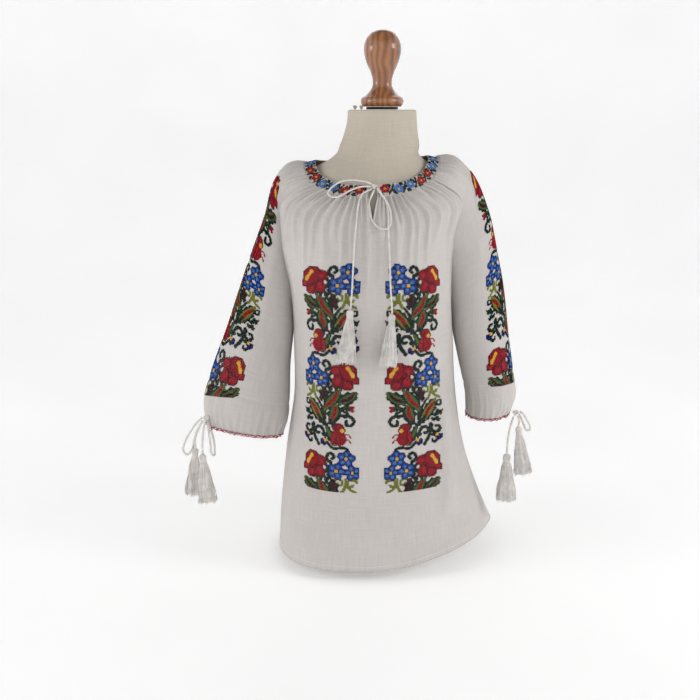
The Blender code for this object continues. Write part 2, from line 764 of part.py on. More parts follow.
def sleeves(cloth, edging, collection):
    """Both sleeves, each with the narrow scalloped edging under its cuff."""
    sides = (
        ("left", -1, LEFT_SEAMS, LEFT_SHOULDER, LEFT_RINGS),
        ("right", 1, RIGHT_SEAMS, RIGHT_SHOULDER, RIGHT_RINGS),
    )
    for word, side, seams, shoulder, rings in sides:
        grid = sleeve_grid(side, seams, shoulder, rings)
        sheet("sleeve_" + word, grid, cloth, collection, closed_from=sum(RAGLAN_ROWS))
        grid[-2:, -1] = grid[-2:, 0]
        step = grid[-1] - grid[-2]
        step /= np.linalg.norm(step, axis=1, keepdims=True)
        top = grid[-1] + step * CLEAR
        strip = np.stack([top, top + step * EDGING_HEIGHT])
        sheet("cuff_edging_" + word, strip, edging, collection, closed_from=0)


def neck_band(cloth, collection):
    """The embroidered band over the gathers, open at the front centre."""
    degrees = np.linspace(BAND_OPEN_DEG, 360 - BAND_OPEN_DEG, 53)
    upper = neckline(degrees, top=True)
    lower = neckline(degrees)
    grid = np.stack([upper, (upper + lower) / 2, lower])
    grid += normals_of(grid) * np.array([0.0, BAND_CROWN, 0.0])[:, None, None]
    step = grid[1] - grid[2]
    grid[2] += step / np.linalg.norm(step, axis=1, keepdims=True) * SEAM
    return sheet("neck_band", grid, cloth, collection)


def front_panel(cloth, collection):
    """Front of the body: gathered on the band, slit at the centre and open at the hem."""
    half = FRONT_HALF_COLUMNS
    edge = neckline(np.linspace(-SEAM_FRONT_DEG, SEAM_FRONT_DEG, 2 * half + 1))
    left = [row[:3] for row in LEFT_SEAMS] + list(LEFT_SIDE)
    right = [row[:3] for row in RIGHT_SEAMS] + list(RIGHT_SIDE)
    keys = panel_keys(edge, FRONT_ROWS, left, right, half)
    grid, down = loft(keys, row_places(RAGLAN_ROWS + SIDE_ROWS))
    pin_panel(grid, [edge[0]] + left, [edge[-1]] + right, SIDE_ROWS)
    grid = trimmed(folded(grid, down, FRONT_FOLDS, half))
    for row in range(SLIT_ROWS):
        open_by = SLIT_TOP_HALF * (1.0 - row / SLIT_ROWS)
        for beside in range(1, SLIT_SPREAD):
            shift = open_by * (1.0 - beside / SLIT_SPREAD)
            grid[row, half - beside, 0] -= shift
            grid[row, half + beside, 0] += shift
    return sheet("front_panel", grid, cloth, collection, slit_rows=SLIT_ROWS)


# ---------------------------------------------------------------- cords and tassels


def ball(name, radius, place, made_of, collection):
    """A small knot, as a sphere."""
    bpy.ops.mesh.primitive_uv_sphere_add(segments=12, ring_count=8, radius=radius)
    item = bpy.context.object
    for holder in list(item.users_collection):
        holder.objects.unlink(item)
    collection.objects.link(item)
    item.name = name
    item.location = place
    item.data.materials.append(made_of)
    item.data.shade_smooth()
    return item


def tassel(name, head, foot, width, made_of, collection):
    """A tied bundle of threads, flattened front to back, from its head to its foot."""
    head = np.asarray(head)
    line = np.asarray(foot) - head
    length = float(np.linalg.norm(line))
    profile = [(radius * width, -height * length) for radius, height in TASSEL_PROFILE]
    tilt = (math.asin(line[1] / length), math.atan2(-line[0], -line[2]))
    item = turned(name, profile, head, made_of, collection, steps=12, tilt=tilt)
    item.scale = (1.0, TASSEL_FLATNESS, 1.0)
    return item


def cords_and_tassels(cotton, collection):
    """The drawstrings' knots, bows and hanging ends, with a tassel on each end."""
    for name, radius, place in KNOTS:
        ball(name, radius, place, cotton, collection)
    for name, route in NECK_ROUTES.items():
        cord(name, route, NECK_CORD, cotton, collection)
    for name, route in CUFF_ROUTES.items():
        cord(name, route, CUFF_CORD, cotton, collection)
    for name, head, foot, width in TASSELS:
        tassel(name, head, foot, width, cotton, collection)


# ---------------------------------------------------------------- the form


def form(cover, wood, dark, cotton, collection):
    """The covered torso with its neck, and the finial on a thin spacer."""
    keys = []
    turns = np.radians(np.linspace(0, 360, 241))
    for _, centre_x, half_width, front_y, back_y, power in FORM_RINGS:
        side = np.sign(np.cos(turns)) * np.abs(np.cos(turns)) ** (2 / power)
        deep = np.sign(np.sin(turns)) * np.abs(np.sin(turns)) ** (2 / power)
        depth = np.where(deep > 0, back_y, -front_y)
        keys.append(np.stack([centre_x + half_width * side, depth * deep], axis=1))
    heights = [row[0] for row in FORM_RINGS]
    at = np.concatenate([np.linspace(0.0, 0.445, 8), np.linspace(0.456, heights[-1], 14)])
    outlines = through(heights, np.asarray(keys), at)
    rings = []
    for z, outline in zip(at, outlines):
        ring = np.column_stack([outline, np.full(len(outline), z)])
        rings.append(evenly(ring, FORM_SIDES + 1)[:-1])
    rim = rings[-1].copy()
    rim[:, :2] *= 1.0 - NECK_ROUND / NECK_RADIUS
    rim[:, 2] = NECK_TOP_Z
    rings.append(rim)
    ring_loft("form_torso", rings[::-1], cover, collection)
    spacer_z = NECK_TOP_Z + CLEAR
    disc = [(0.0, SPACER_HEIGHT), (SPACER_RADIUS, SPACER_HEIGHT), (SPACER_RADIUS, 0.0), (0.0, 0.0)]
    turned("neck_spacer", disc, (0, 0, spacer_z), dark, collection, steps=24)
    foot_z = spacer_z + SPACER_HEIGHT + CLEAR
    turned("finial", FINIAL_PROFILE, (0, 0, foot_z), wood, collection, steps=24)
    for name, x, y in COVER_KNOTS:
        ball(name, COVER_KNOT_RADIUS, (x, y, NECK_TOP_Z + COVER_KNOT_RADIUS + CLEAR), cotton, collection)


def build():
    """Makes the whole object."""
    clear_scene()
    collection = bpy.data.collections.new(OBJECT_NAME)
    bpy.context.scene.collection.children.link(collection)
    cloth = material("white_cotton", (0.80, 0.78, 0.76), 0.9)
    edging = material("crimson_thread", (0.40, 0.02, 0.04), 0.8)
    cotton = material("cotton_cord", (0.84, 0.83, 0.80), 0.85)
    cover = material("linen_cover", (0.62, 0.55, 0.45), 0.9)
    wood = material("varnished_wood", (0.30, 0.14, 0.05), 0.25)
    dark = material("dark_felt", (0.03, 0.03, 0.03), 0.8)
    front_panel(cloth, collection)
    back_panel(cloth, collection)
    sleeves(cloth, edging, collection)
    neck_band(cloth, collection)
    cords_and_tassels(cotton, collection)
    form(cover, wood, dark, cotton, collection)


build()
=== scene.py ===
import math

import bpy
import numpy as np
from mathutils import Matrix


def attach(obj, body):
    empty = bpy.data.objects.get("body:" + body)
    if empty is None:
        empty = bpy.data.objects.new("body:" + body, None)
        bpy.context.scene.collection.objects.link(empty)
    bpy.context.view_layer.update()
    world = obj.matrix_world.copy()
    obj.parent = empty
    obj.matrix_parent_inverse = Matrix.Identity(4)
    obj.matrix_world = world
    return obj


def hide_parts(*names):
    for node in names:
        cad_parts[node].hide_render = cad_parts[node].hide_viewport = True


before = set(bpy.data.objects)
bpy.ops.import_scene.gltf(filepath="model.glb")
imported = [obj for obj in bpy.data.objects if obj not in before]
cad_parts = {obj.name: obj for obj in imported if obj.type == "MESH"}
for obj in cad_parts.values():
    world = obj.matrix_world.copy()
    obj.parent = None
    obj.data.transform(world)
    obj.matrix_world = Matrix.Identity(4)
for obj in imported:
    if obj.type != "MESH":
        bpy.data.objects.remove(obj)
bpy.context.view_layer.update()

# A child's Romanian ie blouse on a limbless dress form. Metres, +Z up, the front faces -Y, and
# "left" is the side at -X. The cloth follows the same rounded sections as the CAD panels, on finer
# grids, with gathers and creases added. The embroidery is drawn on charts of square stitches, and
# each stitch is laid on the cloth as two crossing legs of thread.

# Sizes

# Cloth, as in the CAD panels
CENTRE_X = -0.0125
NECK_Y = -0.010
NECK_HALF_WIDTH = 0.0815
NECK_HALF_DEPTH = 0.072
NECK_TILT = 0.04
SEAM_FRONT_DEG = 57
SEAM_BACK_DEG = 130
SIDE_RISE = 1.35
SEAM = 0.0002
BAND_OPEN_DEG = 3.6
BAND_TOP_Y = -0.0125
BAND_TOP_HALF_WIDTH = 0.0675
BAND_TOP_HALF_DEPTH = 0.0625
SLIT_TOP_HALF = 0.0055

# The shown cloth's grids: rows from one key row to the next, and columns
FINE = 5
RAGLAN_ROWS = tuple(FINE * count for count in (2, 2, 3, 3, 3))
SIDE_ROWS = tuple(FINE * count for count in (3, 3, 2, 2))
RING_ROWS = tuple(FINE * count for count in (2, 2, 2, 2))
SLIT_ROWS = FINE * 4
SLIT_SPREAD = 57
FRONT_HALF_COLUMNS = 130
BACK_HALF_COLUMNS = 96
SLEEVE_HALF_COLUMNS = 86
BAND_COLUMNS = 420
BAND_ROWS = 10
COTTON = 0.0005  # thickness of the cotton
# Gathers below the band and above the cuff: count, longest, height
FRONT_PLEATS = (26, 0.150, 0.0066)
BACK_PLEATS = (23, 0.140, 0.0060)
SLEEVE_PLEATS = (19, 0.090, 0.0036)
CUFF_PLEATS = (30, 0.0576, 0.0026)
FOLD_DEPTH = 2.5  # the shown folds are deeper than the CAD walls' folds by this share
DEEPEST = 0.0014  # most that a crease sinks towards the form
BAND_CROWN = 0.0007
HEM = 0.0065  # height of the turned hem
SLIT_ROLL = 0.0011  # radius of the slit's rolled edges
# Stitches of the slit's pointed facing: distance across from the slit, and down from the band
FACING = (
    (-0.018, 0.006), (-0.017, 0.015), (-0.012, 0.031), (-0.0072, 0.044), (0.008, 0.043),
    (0.0125, 0.031), (0.0175, 0.015), (0.0185, 0.006),
)
SCALLOP = 0.0042  # width of a scallop of the cuffs' edging
SEWN_HALF_WIDTH = 0.00024  # of a plain sewing stitch's thread
SEWN_RISE = 0.00030
CUFF_GATHER = 0.048  # from the sleeve's drawing-up stitches to the cuff's edge

# Embroidery
STITCH = 0.00128
STITCH_WIDE = 0.00136  # across the front, where the cloth is pulled wide
LEG_HALF_WIDTH = 0.00036
LEG_RISE = 0.00040
COLUMN_WIDE = 56
UNIT_TALL = 88
COLUMN_TALL = 217
COLUMN_START = 0.0150  # from the front centre to a column's inner edge
COLUMN_TOP_Z = 0.3915
# Middle of each sleeve's flower column: distance down the sleeve, and off its outer line
LEFT_COLUMN = (
    (0.028, -0.001), (0.078, 0.0037), (0.1134, 0.0072), (0.1491, 0.0108), (0.2139, 0.0187),
    (0.26, 0.0228), (0.311, 0.0232),
)
RIGHT_COLUMN = (
    (0.04, 0.018), (0.0594, 0.0135), (0.0819, 0.0086), (0.1259, 0.001), (0.155, -0.007),
    (0.2133, -0.0195), (0.25, -0.025), (0.3, -0.0312),
)
BAND_STITCH = 0.00132
BAND_SPACING = 12.8  # stitches from one flower to the next
BAND_TALL = 10

# Cords and tassels
NECK_CORD = 0.0022
CUFF_CORD = 0.0030
COVER_CORD = 0.0019  # the cover's own drawstring, of which two knots show
CORD_END_INSIDE = 0.0165  # a cord runs on this far inside its tassel
ROPE_SIDES = 12
ROPE_PLIES = 3
TASSEL_STRANDS = 90
STRAND_RADIUS = 0.00058

# Form and finial
NECK_TOP_Z = 0.5630
NECK_RADIUS = 0.0410
NECK_ROUND = 0.0022  # rounding of the neck's top edge
SPACER_RADIUS = 0.019
SPACER_HEIGHT = 0.0030
CLEAR = 0.0003

# Height of the neckline, the lower edge of the band, by angle from the front.
NECKLINE_HEIGHTS = (
    # degrees, lower edge z, upper edge z
    (0, 0.466, 0.4795),
    (30, 0.4685, 0.4815),
    (60, 0.481, 0.4905),
    (90, 0.5015, 0.5055),
    (120, 0.499, 0.5045),
    (150, 0.4915, 0.501),
    (180, 0.4885, 0.5),
)

# Rows of the front and back panels below the neckline. The fifth is level with the underarm.
FRONT_ROWS = (
    # centre y, centre z, turn in degrees to the seam, powers of the left and right halves' rounding
    (-0.0855, 0.453, 58, 2.35, 2.35),
    (-0.0885, 0.438, 64, 2.35, 2.35),
    (-0.0925, 0.392, 74, 2.35, 2.35),
    (-0.0945, 0.345, 83, 2.35, 2.35),
    (-0.0955, 0.305, 90, 2.35, 2.35),
    (-0.0985, 0.22, 90, 2.35, 2.3),
    (-0.1025, 0.13, 90, 2.45, 2.1),
    (-0.1055, 0.07, 90, 2.6, 1.9),
    (-0.109, 0.012, 90, 2.8, 1.8),
)
# The same columns.
BACK_ROWS = (
    (0.0705, 0.478, 58, 2.35, 2.35),
    (0.0785, 0.457, 64, 2.35, 2.35),
    (0.087, 0.414, 74, 2.35, 2.35),
    (0.088, 0.355, 83, 2.35, 2.35),
    (0.086, 0.305, 90, 2.35, 2.35),
    (0.087, 0.22, 90, 2.35, 2.35),
    (0.093, 0.13, 90, 2.35, 2.35),
    (0.097, 0.07, 90, 2.35, 2.35),
    (0.101, 0.014, 90, 2.35, 2.35),
)

# Raglan seams below the neckline, down to the underarm.
LEFT_SEAMS = (
    # front x, front y, front z, back x, back y, back z
    (-0.1, -0.042, 0.4685, -0.094, 0.038, 0.485),
    (-0.118, -0.03, 0.456, -0.112, 0.033, 0.468),
    (-0.121, -0.028, 0.412, -0.117, 0.034, 0.415),
    (-0.112, -0.016, 0.35, -0.11, 0.024, 0.352),
    (-0.109, 0.002, 0.305, -0.109, 0.002, 0.305),
)
RIGHT_SEAMS = (
    (0.074, -0.042, 0.4725, 0.07, 0.038, 0.489),
    (0.092, -0.03, 0.46, 0.088, 0.033, 0.472),
    (0.087, -0.026, 0.414, 0.085, 0.034, 0.417),
    (0.087, -0.014, 0.35, 0.087, 0.024, 0.352),
    (0.0895, 0.003, 0.305, 0.0895, 0.003, 0.305),
)

# Side seams from below the underarm to the hem.
LEFT_SIDE = (
    # x, y, z
    (-0.109, 0.002, 0.22),
    (-0.1215, 0.004, 0.13),
    (-0.128, 0.006, 0.07),
    (-0.1315, 0.008, 0.0125),
)
RIGHT_SIDE = (
    (0.0955, 0.004, 0.22),
    (0.1125, 0.008, 0.13),
    (0.131, 0.014, 0.077),
    (0.1495, 0.02, 0.0335),
)

# Outer line of each sleeve at the rows of its raglan seams.
LEFT_SHOULDER = (
    # outer x, outer y, outer z, half turn from the outer line to the seams in degrees
    (-0.112, -0.006, 0.4975, 80),
    (-0.126, -0.004, 0.483, 85),
    (-0.142, -0.006, 0.44, 100),
    (-0.165, -0.008, 0.38, 146),
)
RIGHT_SHOULDER = (
    (0.086, -0.006, 0.5055, 80),
    (0.105, -0.002, 0.492, 85),
    (0.13, 0.0, 0.448, 100),
    (0.146, 0.002, 0.385, 150),
)

# Closed rings of each sleeve from the underarm to the cuff.
LEFT_RINGS = (
    # inner x, inner y, inner z, outer x, outer y, outer z, half depth
    (-0.109, 0.002, 0.305, -0.177, -0.008, 0.345, 0.036),
    (-0.114, -0.006, 0.25, -0.1925, -0.012, 0.3, 0.036),
    (-0.1155, -0.012, 0.205, -0.2145, -0.018, 0.241, 0.034),
    (-0.119, -0.018, 0.18, -0.2235, -0.022, 0.204, 0.031),
    (-0.126, -0.022, 0.163, -0.2195, -0.025, 0.18, 0.027),
)
RIGHT_RINGS = (
    (0.0895, 0.003, 0.305, 0.154, 0.002, 0.345, 0.04),
    (0.0985, 0.004, 0.26, 0.162, 0.002, 0.29, 0.043),
    (0.108, 0.004, 0.219, 0.1705, 0.0, 0.236, 0.043),
    (0.112, 0.004, 0.1965, 0.173, 0.0, 0.208, 0.04),
    (0.1135, 0.004, 0.1825, 0.167, 0.0, 0.1895, 0.036),
)

# Sections of the form, from the base to the neck's top.
FORM_RINGS = (
    # z, centre x, half width, front y, back y, power
    (0.0, -0.008, 0.084, -0.07, 0.066, 2.4),
    (0.06, -0.008, 0.087, -0.076, 0.07, 2.4),
    (0.13, -0.008, 0.086, -0.078, 0.07, 2.4),
    (0.22, -0.008, 0.078, -0.074, 0.062, 2.3),
    (0.3, -0.009, 0.084, -0.082, 0.07, 2.3),
    (0.36, -0.01, 0.092, -0.087, 0.078, 2.3),
    (0.41, -0.01, 0.097, -0.085, 0.078, 2.3),
    (0.445, -0.01, 0.098, -0.081, 0.073, 2.1),
    (0.466, -0.01, 0.095, -0.0755, 0.062, 1.85),
    (0.48, -0.01, 0.088, -0.068, 0.055, 1.75),
    (0.491, -0.009, 0.078, -0.061, 0.05, 1.72),
    (0.4975, -0.008, 0.069, -0.0565, 0.0465, 1.77),
    (0.503, -0.006, 0.06, -0.053, 0.045, 1.85),
    (0.51, -0.0055, 0.051, -0.05, 0.043, 1.9),
    (0.522, -0.0025, 0.048, -0.0465, 0.043, 2.0),
    (0.537, -0.001, 0.044, -0.043, 0.043, 2.0),
    (0.55, 0.0, 0.0418, -0.0415, 0.0415, 2.0),
    (0.5605, 0.0, 0.0412, -0.0412, 0.0412, 2.0),
)

# Folds and pleats of the cloth, in metres across from the centre line and down from the neckline.
FRONT_FOLDS = (
    # across at the top, down at the top, across at the end, down at the end, width, height
    (-0.052, 0.004, -0.092, 0.045, 0.006, -0.003),
    (-0.036, 0.004, -0.07, 0.07, 0.0065, -0.0034),
    (-0.022, 0.004, -0.046, 0.085, 0.0065, -0.003),
    (-0.013, 0.02, -0.016, 0.24, 0.0065, -0.0024),
    (0.01, 0.03, 0.012, 0.26, 0.0065, -0.0028),
    (0.024, 0.004, 0.042, 0.08, 0.0065, -0.003),
    (0.04, 0.004, 0.066, 0.07, 0.0065, -0.0034),
    (0.054, 0.004, 0.09, 0.045, 0.006, -0.0028),
    (0.092, 0.23, 0.106, 0.43, 0.012, 0.004),
    (-0.092, 0.3, -0.104, 0.43, 0.014, -0.003),
)
BACK_FOLDS = (
    (-0.05, 0.006, -0.072, 0.07, 0.008, -0.0028),
    (-0.022, 0.006, -0.03, 0.12, 0.008, -0.0026),
    (0.012, 0.01, 0.016, 0.18, 0.008, -0.0026),
    (0.046, 0.006, 0.066, 0.09, 0.008, -0.0028),
    (-0.06, 0.2, -0.08, 0.43, 0.016, 0.004),
    (0.05, 0.22, 0.07, 0.43, 0.016, 0.004),
)
SLEEVE_FOLDS = (
    (-0.03, 0.11, -0.04, 0.29, 0.008, -0.0026),
    (0.034, 0.1, 0.044, 0.3, 0.009, -0.0028),
)


# Knots, bows, hanging ends and tassels. Each route starts and ends just clear of its knot.
KNOTS = (
    # name, radius, place
    ("neck_knot", 0.0034, (-0.0108, -0.08, 0.4785)),
    ("cuff_knot_left", 0.0042, (-0.2181, -0.0435, 0.189)),
    ("cuff_knot_right", 0.0042, (0.173, -0.015, 0.1875)),
)
NECK_ROUTES = {
    "neck_bow_left": (
        (-0.0141, -0.08, 0.4808), (-0.02, -0.08, 0.4834), (-0.0275, -0.0796, 0.4846),
        (-0.0361, -0.0788, 0.4853), (-0.0464, -0.0772, 0.4842), (-0.055, -0.0752, 0.48),
        (-0.0602, -0.0742, 0.4757), (-0.0638, -0.075, 0.4708), (-0.0605, -0.0788, 0.4668),
        (-0.0521, -0.0822, 0.4668), (-0.0464, -0.0838, 0.4695), (-0.0384, -0.0838, 0.4738),
        (-0.0304, -0.0828, 0.477), (-0.022, -0.0815, 0.4784), (-0.0148, -0.0803, 0.4777),
    ),
    "neck_bow_right": (
        (-0.0106, -0.0828, 0.4745), (-0.0138, -0.0858, 0.4685), (-0.017, -0.0885, 0.46),
        (-0.0162, -0.0908, 0.448), (-0.0111, -0.093, 0.4378), (-0.0043, -0.0944, 0.4325),
        (0.0026, -0.095, 0.4316), (0.0071, -0.0948, 0.4352), (0.0083, -0.0936, 0.444),
        (0.0066, -0.0916, 0.4545), (0.0018, -0.089, 0.464), (-0.0035, -0.0862, 0.4712),
        (-0.0077, -0.0832, 0.4762),
    ),
    "neck_cord_left": (
        (-0.0137, -0.0812, 0.4757), (-0.0185, -0.0838, 0.4735), (-0.0235, -0.085, 0.4708),
        (-0.0264, -0.0856, 0.4665), (-0.0288, -0.0874, 0.458), (-0.0312, -0.0914, 0.438),
        (-0.0332, -0.0935, 0.416), (-0.0348, -0.0955, 0.386), (-0.0364, -0.0976, 0.356),
        (-0.0378, -0.099, 0.3392),
    ),
    "neck_cord_right": (
        (-0.007, -0.08, 0.4758), (-0.0036, -0.082, 0.47), (0.0012, -0.0852, 0.462),
        (0.0042, -0.088, 0.454), (0.0056, -0.0902, 0.444), (0.0054, -0.092, 0.431),
        (0.006, -0.0934, 0.418), (0.0072, -0.0953, 0.394), (0.0084, -0.097, 0.364),
        (0.0102, -0.099, 0.334),
    ),
}
CUFF_ROUTES = {
    "cuff_bow_left": (
        (-0.2229, -0.045, 0.1904), (-0.23, -0.0455, 0.1835), (-0.238, -0.045, 0.172),
        (-0.2455, -0.044, 0.1582), (-0.2482, -0.043, 0.1462), (-0.2439, -0.0415, 0.1405),
        (-0.2385, -0.04, 0.1455), (-0.2345, -0.039, 0.1598), (-0.2285, -0.039, 0.1745),
        (-0.2232, -0.0405, 0.185),
    ),
    "cuff_loop_left": (
        (-0.216, -0.047, 0.185), (-0.2145, -0.0485, 0.174), (-0.213, -0.048, 0.156),
        (-0.2118, -0.0462, 0.1425), (-0.2095, -0.0438, 0.1405), (-0.2088, -0.0425, 0.148),
        (-0.21, -0.0422, 0.162), (-0.213, -0.0425, 0.175), (-0.2163, -0.0425, 0.1845),
    ),
    "cuff_cord_left_a": (
        (-0.2215, -0.0475, 0.1868), (-0.227, -0.0495, 0.179), (-0.2318, -0.048, 0.166),
        (-0.233, -0.043, 0.15),
    ),
    "cuff_cord_left_b": (
        (-0.219, -0.0485, 0.1856), (-0.2208, -0.052, 0.174), (-0.222, -0.0548, 0.16),
        (-0.2222, -0.0555, 0.147),
    ),
    "cuff_bow_right": (
        (0.1786, -0.0152, 0.1893), (0.1832, -0.0145, 0.1852), (0.1876, -0.014, 0.178),
        (0.1922, -0.0135, 0.1695), (0.1925, -0.0128, 0.1635), (0.1885, -0.0122, 0.163),
        (0.1852, -0.0118, 0.169), (0.1822, -0.0112, 0.1765), (0.178, -0.0112, 0.1846),
    ),
    "cuff_cord_right_a": (
        (0.1752, -0.019, 0.185), (0.1772, -0.0205, 0.179), (0.1764, -0.02, 0.1712),
    ),
    "cuff_cord_right_b": (
        (0.1702, -0.019, 0.1838), (0.1668, -0.021, 0.174), (0.1642, -0.0215, 0.16),
        (0.1632, -0.0212, 0.146), (0.163, -0.0208, 0.1345),
    ),
}
TASSELS = (
    # name, head's top, foot, width of the foot
    ("neck_tassel_left", (-0.038, -0.0992, 0.3385), (-0.0431, -0.106, 0.2751), 0.0235),
    ("neck_tassel_right", (0.0104, -0.0992, 0.3332), (0.0061, -0.106, 0.2715), 0.0225),
    ("cuff_tassel_left_a", (-0.2332, -0.0425, 0.1492), (-0.2378, -0.0395, 0.085), 0.024),
    ("cuff_tassel_left_b", (-0.2222, -0.0556, 0.1462), (-0.2175, -0.057, 0.0815), 0.025),
    ("cuff_tassel_right_a", (0.1763, -0.0199, 0.1704), (0.1859, -0.018, 0.1044), 0.024),
    ("cuff_tassel_right_b", (0.163, -0.0207, 0.1337), (0.1644, -0.02, 0.0688), 0.029),
)
TASSEL_FLATNESS = 0.62
TASSEL_PROFILE = (
    # radius as a share of the foot's width, distance down as a share of the length
    (0.0, 0.0),
    (0.1, 0.006),
    (0.155, 0.04),
    (0.16, 0.09),
    (0.13, 0.135),
    (0.155, 0.165),
    (0.24, 0.3),
    (0.36, 0.56),
    (0.46, 0.82),
    (0.5, 0.95),
    (0.44, 0.995),
    (0.0, 1.0),
)

COVER_KNOT_RADIUS = 0.0027
COVER_KNOTS = (
    # name, x, y
    ("cover_knot_a", -0.0325, -0.019),
    ("cover_knot_b", -0.025, -0.021),
)
FINIAL_PROFILE = (
    # radius, height above the foot, top to bottom
    (0.0, 0.088),
    (0.006, 0.0875),
    (0.012, 0.0852),
    (0.0175, 0.0802),
    (0.021, 0.0735),
    (0.0222, 0.0665),
    (0.0212, 0.058),
    (0.018, 0.0482),
    (0.014, 0.0395),
    (0.0116, 0.031),
    (0.0118, 0.024),
    (0.015, 0.018),
    (0.02, 0.013),
    (0.0245, 0.01),
    (0.0257, 0.007),
    (0.025, 0.003),
    (0.0225, 0.0),
    (0.0, 0.0),
)


# Curves and sections


def through(keys, values, at):
    """Smooth curve through the values at the keys, read at the given places."""
    keys = np.asarray(keys, float)
    values = np.asarray(values, float)
    at = np.asarray(at, float)
    slopes = np.gradient(values, keys, axis=0)
    left = np.clip(np.searchsorted(keys, at, side="right") - 1, 0, len(keys) - 2)
    span = keys[left + 1] - keys[left]
    t = (at - keys[left]) / span
    shape = (-1,) + (1,) * (values.ndim - 1)
    t = t.reshape(shape)
    span = span.reshape(shape)
    start = (1 + 2 * t) * (1 - t) ** 2 * values[left]
    end = t**2 * (3 - 2 * t) * values[left + 1]
    start_slope = t * (1 - t) ** 2 * span * slopes[left]
    end_slope = t**2 * (t - 1) * span * slopes[left + 1]
    return start + end + start_slope + end_slope


def run_along(points):
    """Distance along a line at each of its points."""
    steps = np.linalg.norm(np.diff(points, axis=0), axis=1)
    return np.concatenate([[0.0], np.cumsum(steps)])


def read_at(at, run, rows):
    """Rows of values that belong to places along a line, read at other places."""
    return np.stack([np.interp(at, run, column) for column in rows.T], axis=1)


def normed(vectors):
    """The vectors at unit length."""
    return vectors / np.linalg.norm(vectors, axis=-1, keepdims=True)


def evenly(points, count):
    """The given number of points, evenly spaced along a line of close points."""
    run = run_along(points)
    return read_at(np.linspace(0.0, run[-1], count), run, points)


def neckline(degrees, top=False):
    """Points of the band's lower or upper edge at angles from the front, positive to the right."""
    degrees = np.asarray(degrees, float)
    angle = np.radians(degrees)
    heights = [row[2 if top else 1] for row in NECKLINE_HEIGHTS]
    turned = np.abs((degrees + 180.0) % 360.0 - 180.0)
    half_width = BAND_TOP_HALF_WIDTH if top else NECK_HALF_WIDTH
    half_depth = BAND_TOP_HALF_DEPTH if top else NECK_HALF_DEPTH
    x = CENTRE_X + half_width * np.sin(angle)
    y = (BAND_TOP_Y if top else NECK_Y) - half_depth * np.cos(angle)
    z = through([row[0] for row in NECKLINE_HEIGHTS], heights, turned)
    return np.stack([x, y, z + NECK_TILT * (x - CENTRE_X)], axis=1)


def half_section(centre, end, turn, power):
    """Rounded line from the centre of a panel to its edge, which it meets after turning by turn."""
    angle = np.linspace(0.0, math.radians(turn), 160)
    across = np.sin(angle) ** (2.0 / power)
    back = 1.0 - np.cos(angle) ** (2.0 / power)
    across = across / across[-1]
    back = back / back[-1]
    centre = np.asarray(centre, float)
    end = np.asarray(end, float)
    weights = np.stack([across, back, across**SIDE_RISE], axis=1)
    return centre + (end - centre) * weights


def row_places(counts):
    """Places of the rows, in key rows, from the counts of rows between one key row and the next."""
    places = [key + step / count for key, count in enumerate(counts) for step in range(count)]
    return np.array(places + [len(counts)])


def loft(key_rows, places):
    """Grid of points through key rows, read at places given in key rows, and its distances down."""
    keys = np.asarray(key_rows, float)
    steps = np.linalg.norm(np.diff(keys, axis=0), axis=2).mean(axis=1)
    run = np.concatenate([[0.0], np.cumsum(steps)])
    at = np.interp(places, np.arange(len(run)), run)
    return through(run, keys, at), at


def line_at(points, places):
    """Smooth line through points, read at places given in points."""
    grid, _ = loft(np.asarray(points, float)[:, None, :], places)
    return grid[:, 0]


def pinned(grid, rows, column, line):
    """Moves one edge of the rows onto a line, and eases the shift out towards the middle column."""
    half = grid.shape[1] // 2
    near = np.clip(1.0 - np.arange(grid.shape[1]) / half, 0.0, 1.0) ** 2
    if column != 0:
        near = near[::-1]
    shift = line - grid[rows, column]
    grid[rows] += near[None, :, None] * shift[:, None, :]


def pin_panel(grid, left, right, counts):
    """Moves a panel's side edges onto the raglan seams and, below the underarm, the side seams."""
    underarm = len(RAGLAN_ROWS)
    above = sum(RAGLAN_ROWS)
    for column, points in ((0, left), (-1, right)):
        seam = line_at(points[: underarm + 1], row_places(RAGLAN_ROWS))
        side = line_at(points[underarm:], row_places(counts))
        pinned(grid, slice(0, above + 1), column, seam)
        pinned(grid, slice(above, None), column, side)


def normals_of(grid):
    """Unit normals of a grid of points: down crossed with across."""
    across = np.gradient(grid, axis=1)
    down = np.gradient(grid, axis=0)
    normal = np.cross(across, down)
    length = np.linalg.norm(normal, axis=2, keepdims=True)
    return -normal / np.maximum(length, 1e-12)


def fold_height(across, down, folds):
    """Height of the soft ridges and troughs of a table at places on the cloth."""
    height = np.zeros_like(across)
    for across_top, down_top, across_end, down_end, width, rise in folds:
        along_x = across_end - across_top
        along_y = down_end - down_top
        length = math.hypot(along_x, along_y)
        offset_x = across - across_top
        offset_y = down - down_top
        along = (offset_x * along_x + offset_y * along_y) / length**2
        beside = (offset_x * along_y - offset_y * along_x) / length
        ends = np.clip(np.minimum(along, 1.0 - along) / 0.25, 0.0, 1.0)
        ends = ends * ends * (3.0 - 2.0 * ends)
        height += rise * ends * np.exp(-((beside / width) ** 2))
    return height


def trimmed(grid, left=None, right=None):
    """The grid with its edges drawn back from the seam lines. Left and right are row counts."""
    out = grid.copy()

    for count, column, beside in ((left, 0, 1), (right, -1, -2)):
        rows = slice(0, count)
        out[rows, column] += normed(grid[rows, beside] - grid[rows, column]) * SEAM
    out[0] += normed(grid[1] - grid[0]) * SEAM
    return out


def panel_keys(first_edge, rows, left, right, half_columns):
    """Key rows of a front or back panel: the neckline's row, then rounded sections below it."""
    keys = [first_edge]
    for (centre_y, centre_z, turn, *powers), left_end, right_end in zip(rows, left, right):
        centre = (CENTRE_X, centre_y, centre_z)
        left_half = evenly(half_section(centre, left_end, turn, powers[0]), half_columns + 1)
        right_half = evenly(half_section(centre, right_end, turn, powers[1]), half_columns + 1)
        keys.append(np.concatenate([left_half[::-1], right_half[1:]]))
    return keys


